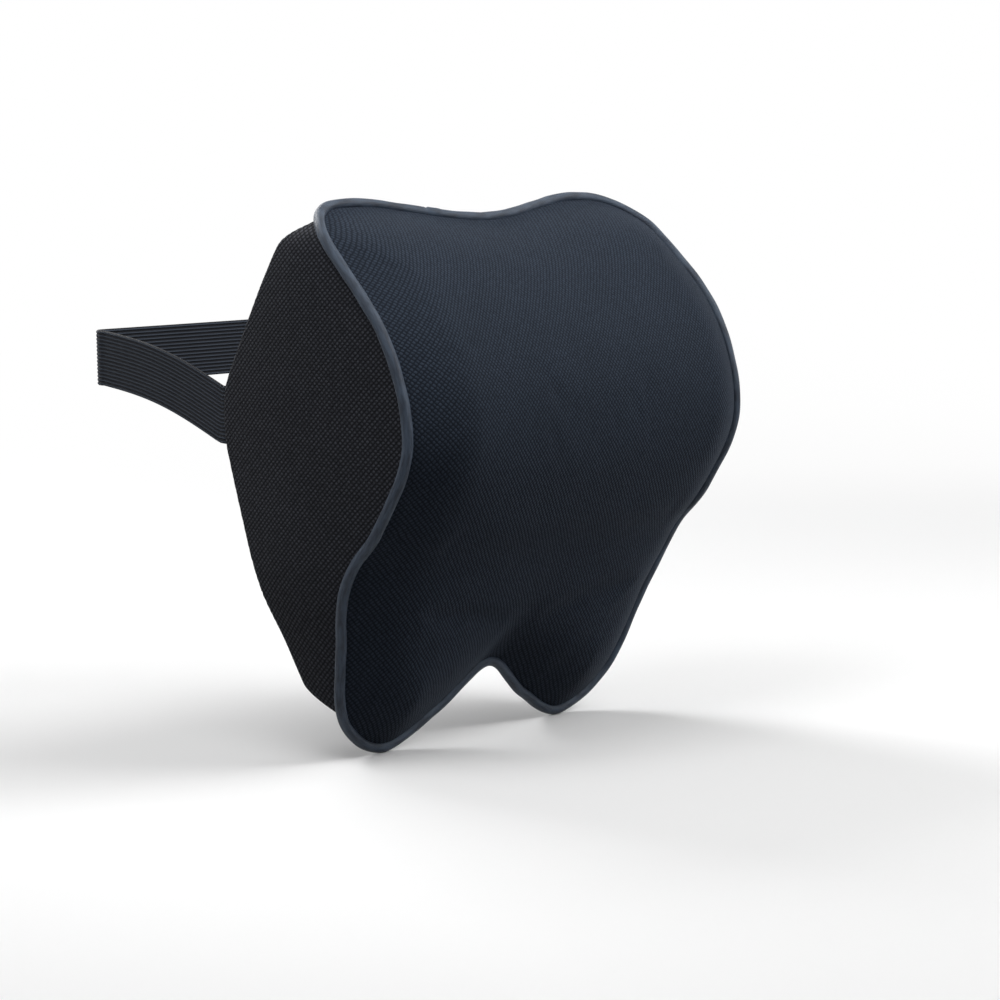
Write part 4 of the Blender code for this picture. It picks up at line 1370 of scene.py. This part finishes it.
@dataclass
class Zip:
    """The zip: coils of teeth, stops, slider, pull and the stitching beside it."""

    form: WedgeForm
    at: ZipFrame = field(default_factory=ZipFrame)
    tooth_pitch: float = 0.0014
    wire_radius: float = 0.00030
    head_gap: float = 0.0005
    turn_steps: int = 14
    wire_sides: int = 6
    slider_length: float = 0.010
    plate: float = 0.0012
    flange: float = 0.0008
    post_width: float = 0.0004
    post_length: float = 0.002
    bridge_length: float = 0.007
    bridge_bar: float = 0.0010
    pull_length: float = 0.024
    pull_thickness: float = 0.0012
    pull_arm: float = 0.0012
    stitch_length: float = 0.0026
    stitch_gap: float = 0.0008
    stitch_radius: float = 0.00028
    stitch_offset: float = 0.0022

    @property
    def coil_bottom(self) -> float:
        """Where the teeth sit, measured outwards from the cover's face."""
        return -self.at.fabric

    @property
    def plate_bottom(self) -> float:
        """The underside of the slider's outer plate."""
        return self.coil_bottom + self.at.coil_height + self.at.fit

    @property
    def pull_axis(self) -> float:
        """The height of the pull's hinge."""
        return self.plate_bottom + self.plate + self.at.fit + 0.5 * self.pull_thickness

    @property
    def rest_x(self) -> float:
        """The slider's middle at rest, by the closed end."""
        return -0.5 * self.at.length + self.at.stop_length + self.at.fit + 0.5 * self.slider_length

    def blocks(self, name: str, boxes: list[tuple], squareness: float, shift: float = 0.0) -> bpy.types.Mesh:
        """A mesh of soft-edged blocks in the zip's axes, each given by two corners."""
        meshes = []
        for low, high in boxes:
            grid = rounded_block(low, high, squareness) + (shift, 0.0, 0.0)
            grid = self.at.place(self.form, grid)
            uv = np.zeros((grid.shape[0], grid.shape[1] + 1, 2))
            meshes.append(grid_mesh(name, grid, uv, flip=False, wrap=True))
        return joined(meshes, name)

    def build_coil(self, name: str, side: int, node: str) -> bpy.types.Object:
        """A coil of teeth, as round wire wound into flat turns.

        Formula: at angle a, the wire's middle is at x = pitch a / (2 pi), z = middle - width
        cos a, y = middle + height sin a. The other side's coil is half a turn behind.

        Args:
            name: the piece's name.
            side: 1 above the zip's middle and -1 below it.
            node: the CAD node that it stands for.

        Returns:
            The piece.
        """
        run = self.at.length - 2 * (self.at.stop_length + self.at.fit) - 2 * self.wire_radius
        turns = int(run / self.tooth_pitch) - 1
        a = np.linspace(0.0, 2 * pi * turns, turns * self.turn_steps + 1)
        inner = 0.5 * self.head_gap + self.wire_radius
        outer = 0.5 * self.at.chain_gap + self.at.coil_width - self.wire_radius
        rise_half = 0.5 * self.at.coil_height - self.wire_radius
        lag = 0.0 if side > 0 else 0.5 * self.tooth_pitch
        x = self.tooth_pitch * a / (2 * pi) - 0.5 * run + lag
        y = self.coil_bottom + 0.5 * self.at.coil_height + rise_half * np.sin(a)
        z = side * (0.5 * (inner + outer) - 0.5 * (outer - inner) * np.cos(a))
        path = self.at.place(self.form, np.column_stack([x, y, z]))
        tangent = unit(np.gradient(path, axis=0))
        along = self.at.axes(self.form)[0]
        first = unit(along - (tangent @ along)[:, None] * tangent)
        second = np.cross(tangent, first)
        angle = np.linspace(0.0, 2 * pi, self.wire_sides, endpoint=False)
        ring = np.cos(angle)[None, :, None] * first[:, None] + np.sin(angle)[None, :, None] * second[:, None]
        grid = path[:, None] + self.wire_radius * ring
        ends = np.repeat(path[[0, -1], None], self.wire_sides, axis=1)
        grid = np.vstack([ends[:1], grid, ends[1:]])
        uv = np.zeros((grid.shape[0], self.wire_sides + 1, 2))
        mesh = grid_mesh(name, grid, uv, flip=True, wrap=True)
        piece = add_piece(name, joined([mesh], name), NYLON.material())
        return settle(piece, Body.CUSHION.value, Slot.ZIP_COIL.value, node)

    def build_stops(self) -> None:
        """The metal stops that clamp both coils at each end."""
        half = 0.5 * self.at.length
        chain = 0.5 * self.at.chain_gap + self.at.coil_width
        top = self.coil_bottom + self.at.coil_height
        for name, end in (("closed", -half), ("open", half - self.at.stop_length)):
            low = (end, self.coil_bottom, -chain)
            high = (end + self.at.stop_length, top, chain)
            mesh = self.blocks(f"zip_end_{name}", [(low, high)], 0.35)
            piece = add_piece(f"zip_end_{name}", mesh, GUNMETAL.material())
            settle(piece, Body.CUSHION.value, Slot.ZIP_METAL.value, f"zip_stop_{name}")

    def build_slider(self) -> bpy.types.Object:
        """The slider: two plates joined by a post, flanges over the teeth, and the bridge."""
        half = 0.5 * self.slider_length
        chain = 0.5 * self.at.chain_gap + self.at.coil_width
        inside = chain + self.at.fit
        outside = inside + self.flange
        low_plate = self.coil_bottom - 2 * self.at.fit - self.at.tape_thickness - self.at.fit
        top = self.plate_bottom + self.plate
        flange_low = self.coil_bottom + self.at.fit
        post = 0.5 * self.post_width
        bridge = 0.5 * self.bridge_length
        bar = 0.5 * self.bridge_bar
        bar_low = self.pull_axis + 0.5 * self.pull_thickness + self.at.fit
        bar_top = bar_low + self.bridge_bar
        boxes = [
            ((-half, self.plate_bottom, -outside), (half, top, outside)),
            ((-half, low_plate - self.plate, -inside), (half, low_plate, inside)),
            ((-half, flange_low, inside), (half, top, outside)),
            ((-half, flange_low, -outside), (half, top, -inside)),
            ((-half, low_plate, -post), (-half + self.post_length, top, post)),
            ((-bridge, self.plate_bottom, -bar), (-bridge + self.bridge_bar, bar_top, bar)),
            ((bridge - self.bridge_bar, self.plate_bottom, -bar), (bridge, bar_top, bar)),
            ((-bridge, bar_low, -bar), (bridge, bar_top, bar)),
        ]
        mesh = self.blocks("slider_body", boxes, 0.18, self.rest_x)
        piece = add_piece("slider_body", mesh, GUNMETAL.material())
        return settle(piece, Body.SLIDER.value, Slot.ZIP_METAL.value, "zip_slider")

    def build_pull(self) -> bpy.types.Object:
        """The pull: a flat tab with an eye at its hinge, as one ring-shaped plate.

        Formula: the outer and inner outlines are superellipses with the same angle. Between
        them the section is a rounded strip, so a point is middle + half span * power(cos c)
        across the strip and half thickness * power(sin c) through it.

        Returns:
            The piece.
        """
        eye_half = 0.5 * self.bridge_bar + 2 * self.at.fit
        outer_half = eye_half + self.pull_arm
        eye_start = 0.5 * self.pull_thickness
        eye_end = 0.5 * self.bridge_length + 2 * self.at.fit
        back = -0.5 * self.pull_thickness
        a = np.linspace(0.0, 2 * pi, 72, endpoint=False)[:, None]
        c = np.linspace(0.0, 2 * pi, 16, endpoint=False)[None]

        def oval(start: float, end: float, half: float) -> np.ndarray:
            """A superellipse between two places along the pull."""
            across = np.sign(np.sin(a)) * np.abs(np.sin(a)) ** 0.4 * half
            along = np.sign(np.cos(a)) * np.abs(np.cos(a)) ** 0.4
            return np.stack([0.5 * (start + end) + 0.5 * (end - start) * along, across], axis=-1)

        outer = oval(back, self.pull_length, outer_half)
        inner = oval(eye_start, eye_end, eye_half)
        span = np.sign(np.cos(c)) * np.abs(np.cos(c)) ** 0.4
        rise_share = np.sign(np.sin(c)) * np.abs(np.sin(c)) ** 0.4
        flat = 0.5 * (outer + inner) + 0.5 * (outer - inner) * span[..., None]
        height = np.broadcast_to(0.5 * self.pull_thickness * rise_share, flat.shape[:2])
        grid = np.stack([flat[..., 0] + self.rest_x, self.pull_axis + height, flat[..., 1]], axis=-1)
        grid = self.at.place(self.form, np.vstack([grid, grid[:1]]))
        uv = np.zeros((grid.shape[0], grid.shape[1] + 1, 2))
        mesh = joined([grid_mesh("pull_tab", grid, uv, flip=False, wrap=True)], "pull_tab")
        piece = add_piece("pull_tab", mesh, GUNMETAL.material())
        return settle(piece, Body.PULL.value, Slot.ZIP_METAL.value, "zip_pull")

    def build_stitching(self) -> bpy.types.Object:
        """The topstitching beside the zip, in a row above it and a row below it."""
        pitch = self.stitch_length + self.stitch_gap
        count = int((self.at.length + 0.008) / pitch)
        half = 0.5 * self.stitch_length
        radius = self.stitch_radius
        stitch = rounded_block((-half, -radius, -radius), (half, radius, radius), 0.7, 7, 10)
        x = (np.arange(count) - 0.5 * (count - 1)) * pitch
        z = 0.5 * self.at.window + self.stitch_offset
        meshes = []
        for side in (1, -1):
            places = np.column_stack([x, np.full(count, 0.1 * radius), np.full(count, side * z)])
            for place in places:
                grid = self.at.place(self.form, stitch + place)
                uv = np.zeros((grid.shape[0], grid.shape[1] + 1, 2))
                meshes.append(grid_mesh("stitch", grid, uv, flip=False, wrap=True))
        piece = add_piece("zip_topstitch", joined(meshes, "zip_topstitch"), THREAD.material())
        return settle(piece, Body.CUSHION.value, Slot.ZIP_TAPE.value)

    def dress_tapes(self) -> None:
        """Gives the CAD tapes their woven finish."""
        for name in ("zip_tape_upper", "zip_tape_lower"):
            dress_node(name, TAPE.material())

    def build(self) -> None:
        """Builds every piece of the zip."""
        self.build_coil("coil_teeth_upper", 1, "zip_coil_upper")
        self.build_coil("coil_teeth_lower", -1, "zip_coil_lower")
        self.build_stops()
        self.build_slider()
        self.build_pull()
        self.build_stitching()
        self.dress_tapes()


def dress_node(name: str, material: bpy.types.Material) -> None:
    """Gives a CAD node a procedural material in place of its own."""
    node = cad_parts[name]
    node.data.materials.clear()
    node.data.materials.append(material)
    log.info("%s: dressed in %s", name, material.name)


@dataclass
class Foam:
    """The core, as one soft block a little smaller than the solid it stands for."""

    ease: float = 0.002
    voxel: float = 0.005

    def build(self) -> bpy.types.Object:
        """Builds the block: the solid's skin, remeshed evenly and moved in along its normals."""
        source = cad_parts["foam_core"]
        piece = add_piece("foam_block", source.data.copy(), FOAM.material())
        piece.data.materials.clear()
        piece.data.materials.append(FOAM.material())
        remesh = piece.modifiers.new("Even skin", "REMESH")
        remesh.mode = "VOXEL"
        remesh.voxel_size = self.voxel
        remesh.use_smooth_shade = True
        inwards = piece.modifiers.new("Ease", "DISPLACE")
        inwards.strength = -self.ease
        inwards.mid_level = 0.0
        mesh = bpy.data.meshes.new_from_object(piece.evaluated_get(bpy.context.evaluated_depsgraph_get()))
        piece.modifiers.clear()
        piece.data = mesh
        settle(piece, Body.CUSHION.value, Slot.FOAM.value, "foam_core")
        return piece


@dataclass
class Cushion:
    """The whole cushion, built round one form."""

    form: WedgeForm = field(default_factory=WedgeForm)

    def panels(self) -> list[CoverPanel]:
        """The cover's panels."""
        front = FrontPanel(
            self.form, "front_cover", "front_panel", Slot.FRONT_KNIT, FRONT_KNIT,
            rows=190, columns=190, flip=True, swell=ClothSwell(4.0, 0.0030, 72, 72),
            seams=(CORD_SEAM,) * 4,
        )
        sides = [
            SidePanel(
                self.form, f"{name}_side_cover", f"side_panel_{name}", Slot.SIDE_MESH, SIDE_MESH,
                rows=180, columns=90, flip=side > 0, swell=ClothSwell(3.0, 0.0020, 64, 32),
                seams=(CORD_SEAM, CORD_SEAM, CORD_SEAM, REAR_SEAM), side=side,
            )
            for name, side in (("left", -1), ("right", 1))
        ]
        upper = BackPanel(
            self.form, "upper_back_cover", "back_panel_upper", Slot.SIDE_MESH, SIDE_MESH,
            rows=150, columns=200, flip=False, swell=ClothSwell(2.0, 0.0012, 48, 64),
            seams=(CORD_SEAM, ZIP_HEM, REAR_SEAM, REAR_SEAM), zip_side=ZipSide.ABOVE,
        )
        lower = BackPanel(
            self.form, "lower_back_cover", "back_panel_lower", Slot.SIDE_MESH, SIDE_MESH,
            rows=80, columns=200, flip=False, swell=ClothSwell(2.0, 0.0012, 24, 64),
            seams=(ZIP_HEM, CORD_SEAM, REAR_SEAM, REAR_SEAM), zip_side=ZipSide.BELOW,
        )
        return [front, *sides, upper, lower]

    def build(self) -> None:
        """Builds and dresses every piece."""
        for panel in self.panels():
            panel.build()
        Piping(self.form).build()
        Strap(self.form).build()
        Zip(self.form).build()
        Foam().build()


@dataclass(frozen=True)
class Lamp:
    """A soft area light that looks at the cushion."""

    name: str
    place: tuple[float, float, float]
    size: float
    power: float

    def build(self, target: Vector) -> None:
        """Adds the lamp, turned to the target."""
        data = bpy.data.lights.new(self.name, "AREA")
        data.energy = self.power
        data.size = self.size
        lamp = bpy.data.objects.new(self.name, data)
        lamp.location = self.place
        lamp.rotation_euler = (target - lamp.location).to_track_quat("-Z", "Y").to_euler()
        bpy.context.scene.collection.objects.link(lamp)


@dataclass
class Studio:
    """The plain pale floor, the soft light and the camera."""

    azimuth: float = -0.872665
    elevation: float = 0.102062
    roll: float = -0.017861
    distance: float = 1.599548
    shift: tuple[float, float] = (-0.001105, 0.017399)
    target: tuple[float, float, float] = (0.0, -0.078, -0.030)
    sensor: float = 36.0
    lens: float = 117.0
    floor_tone: float = 0.90
    floor_half: float = 4.0
    floor_fade: tuple[float, float] = (0.35, 1.6)
    floor_bounce: float = 0.15
    world_light: float = 0.15

    def build_camera(self) -> None:
        """The camera, turned round the cushion by azimuth, elevation and roll."""
        a, e = self.azimuth, self.elevation
        back = Vector((sin(a) * cos(e), -cos(a) * cos(e), sin(e)))
        right = Vector((cos(a), sin(a), 0.0))
        up = back.cross(right)
        c, s = cos(self.roll), sin(self.roll)
        right, up = c * right + s * up, c * up - s * right
        data = bpy.data.cameras.new("camera")
        data.sensor_width = self.sensor
        data.lens = self.lens
        camera = bpy.data.objects.new("camera", data)
        place = self.distance * back - self.shift[0] * right - self.shift[1] * up + Vector(self.target)
        turn = Matrix((right, up, back)).transposed()
        camera.matrix_world = Matrix.Translation(place) @ turn.to_4x4()
        bpy.context.scene.collection.objects.link(camera)
        bpy.context.scene.camera = camera

    def build_floor(self) -> None:
        """The floor, at the cushion's lowest point, curving up far behind into a backdrop."""
        low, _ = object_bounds()
        half = self.floor_half
        run = np.linspace(-half, half, 60)
        rise_up = 0.9 * np.clip(run - 1.2, 0.0, None) ** 2
        side = np.linspace(-half, half, 40)
        x, y = np.meshgrid(side, run)
        z = np.broadcast_to(low.z + 0.0 * x + rise_up[:, None], x.shape)
        turn = Matrix.Rotation(self.azimuth, 3, "Z")
        grid = np.stack([x, y, z], axis=-1) @ np.array(turn).T
        mesh = grid_mesh("floor", grid, grid[..., :2], flip=True)
        floor = add_piece("floor", mesh, self.floor_material())
        floor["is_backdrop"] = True

    def floor_material(self) -> bpy.types.Material:
        """A pale matt floor that fades to the white behind it, and throws little light back."""
        graph, shader = new_material("floor")
        rays = graph.add("LightPath")
        seen = graph.math("MAXIMUM", rays.outputs["Is Camera Ray"], rays.outputs["Is Glossy Ray"])
        seen = graph.math("MAXIMUM", seen, rays.outputs["Is Transmission Ray"])
        place = graph.add("TexCoord")
        away = graph.add("VectorMath", {0: place.outputs["Object"]}, operation="LENGTH")
        fade = graph.remap(away.outputs["Value"], *self.floor_fade, 0.0, 1.0)
        pale, dim, black = ((tone, tone, tone, 1.0) for tone in (self.floor_tone, self.floor_bounce, 0.0))
        near = graph.blend(seen, dim, pale)
        graph.tree.links.new(graph.blend(fade, near, black), shader.inputs["Base Color"])
        shader.inputs["Emission Color"].default_value = (1.0, 1.0, 1.0, 1.0)
        graph.tree.links.new(graph.math("MULTIPLY", fade, seen), shader.inputs["Emission Strength"])
        shader.inputs["Roughness"].default_value = 0.9
        shader.inputs["Specular IOR Level"].default_value = 0.0
        return bpy.data.materials["floor"]

    def build_light(self) -> None:
        """A broad lamp overhead, a weaker one at each side, and an even world."""
        target = Vector(self.target)
        lamps = (
            Lamp("overhead", (0.50, -0.95, 1.05), 0.9, 14.5),
            Lamp("left", (-0.42, -0.12, 0.60), 0.4, 2.4),
            Lamp("right", (1.3, -0.9, 0.8), 0.8, 4.5),
            Lamp("behind", (0.4, 1.4, 1.0), 0.8, 22.0),
        )
        for lamp in lamps:
            lamp.build(target)
        world = bpy.data.worlds.new("world")
        world.use_nodes = True
        bpy.context.scene.world = world
        graph = Graph(world.node_tree)
        background = world.node_tree.nodes["Background"]
        background.inputs["Color"].default_value = (1.0, 1.0, 1.0, 1.0)
        rays = graph.add("LightPath")
        seen = graph.math("MAXIMUM", rays.outputs["Is Camera Ray"], rays.outputs["Is Glossy Ray"])
        seen = graph.math("MAXIMUM", seen, rays.outputs["Is Transmission Ray"])
        strength = graph.remap(seen, 0.0, 1.0, self.world_light, 1.0)
        graph.tree.links.new(strength, background.inputs["Strength"])

    def build(self) -> None:
        """Builds the studio and sets the plain view."""
        self.build_camera()
        self.build_floor()
        self.build_light()
        bpy.context.scene.view_settings.view_transform = "Standard"


def main() -> None:
    """Builds the cushion and the studio."""
    logging.basicConfig(level=logging.INFO, format="%(message)s")
    Cushion().build()
    Studio().build()


if __name__ == "__main__":
    main()
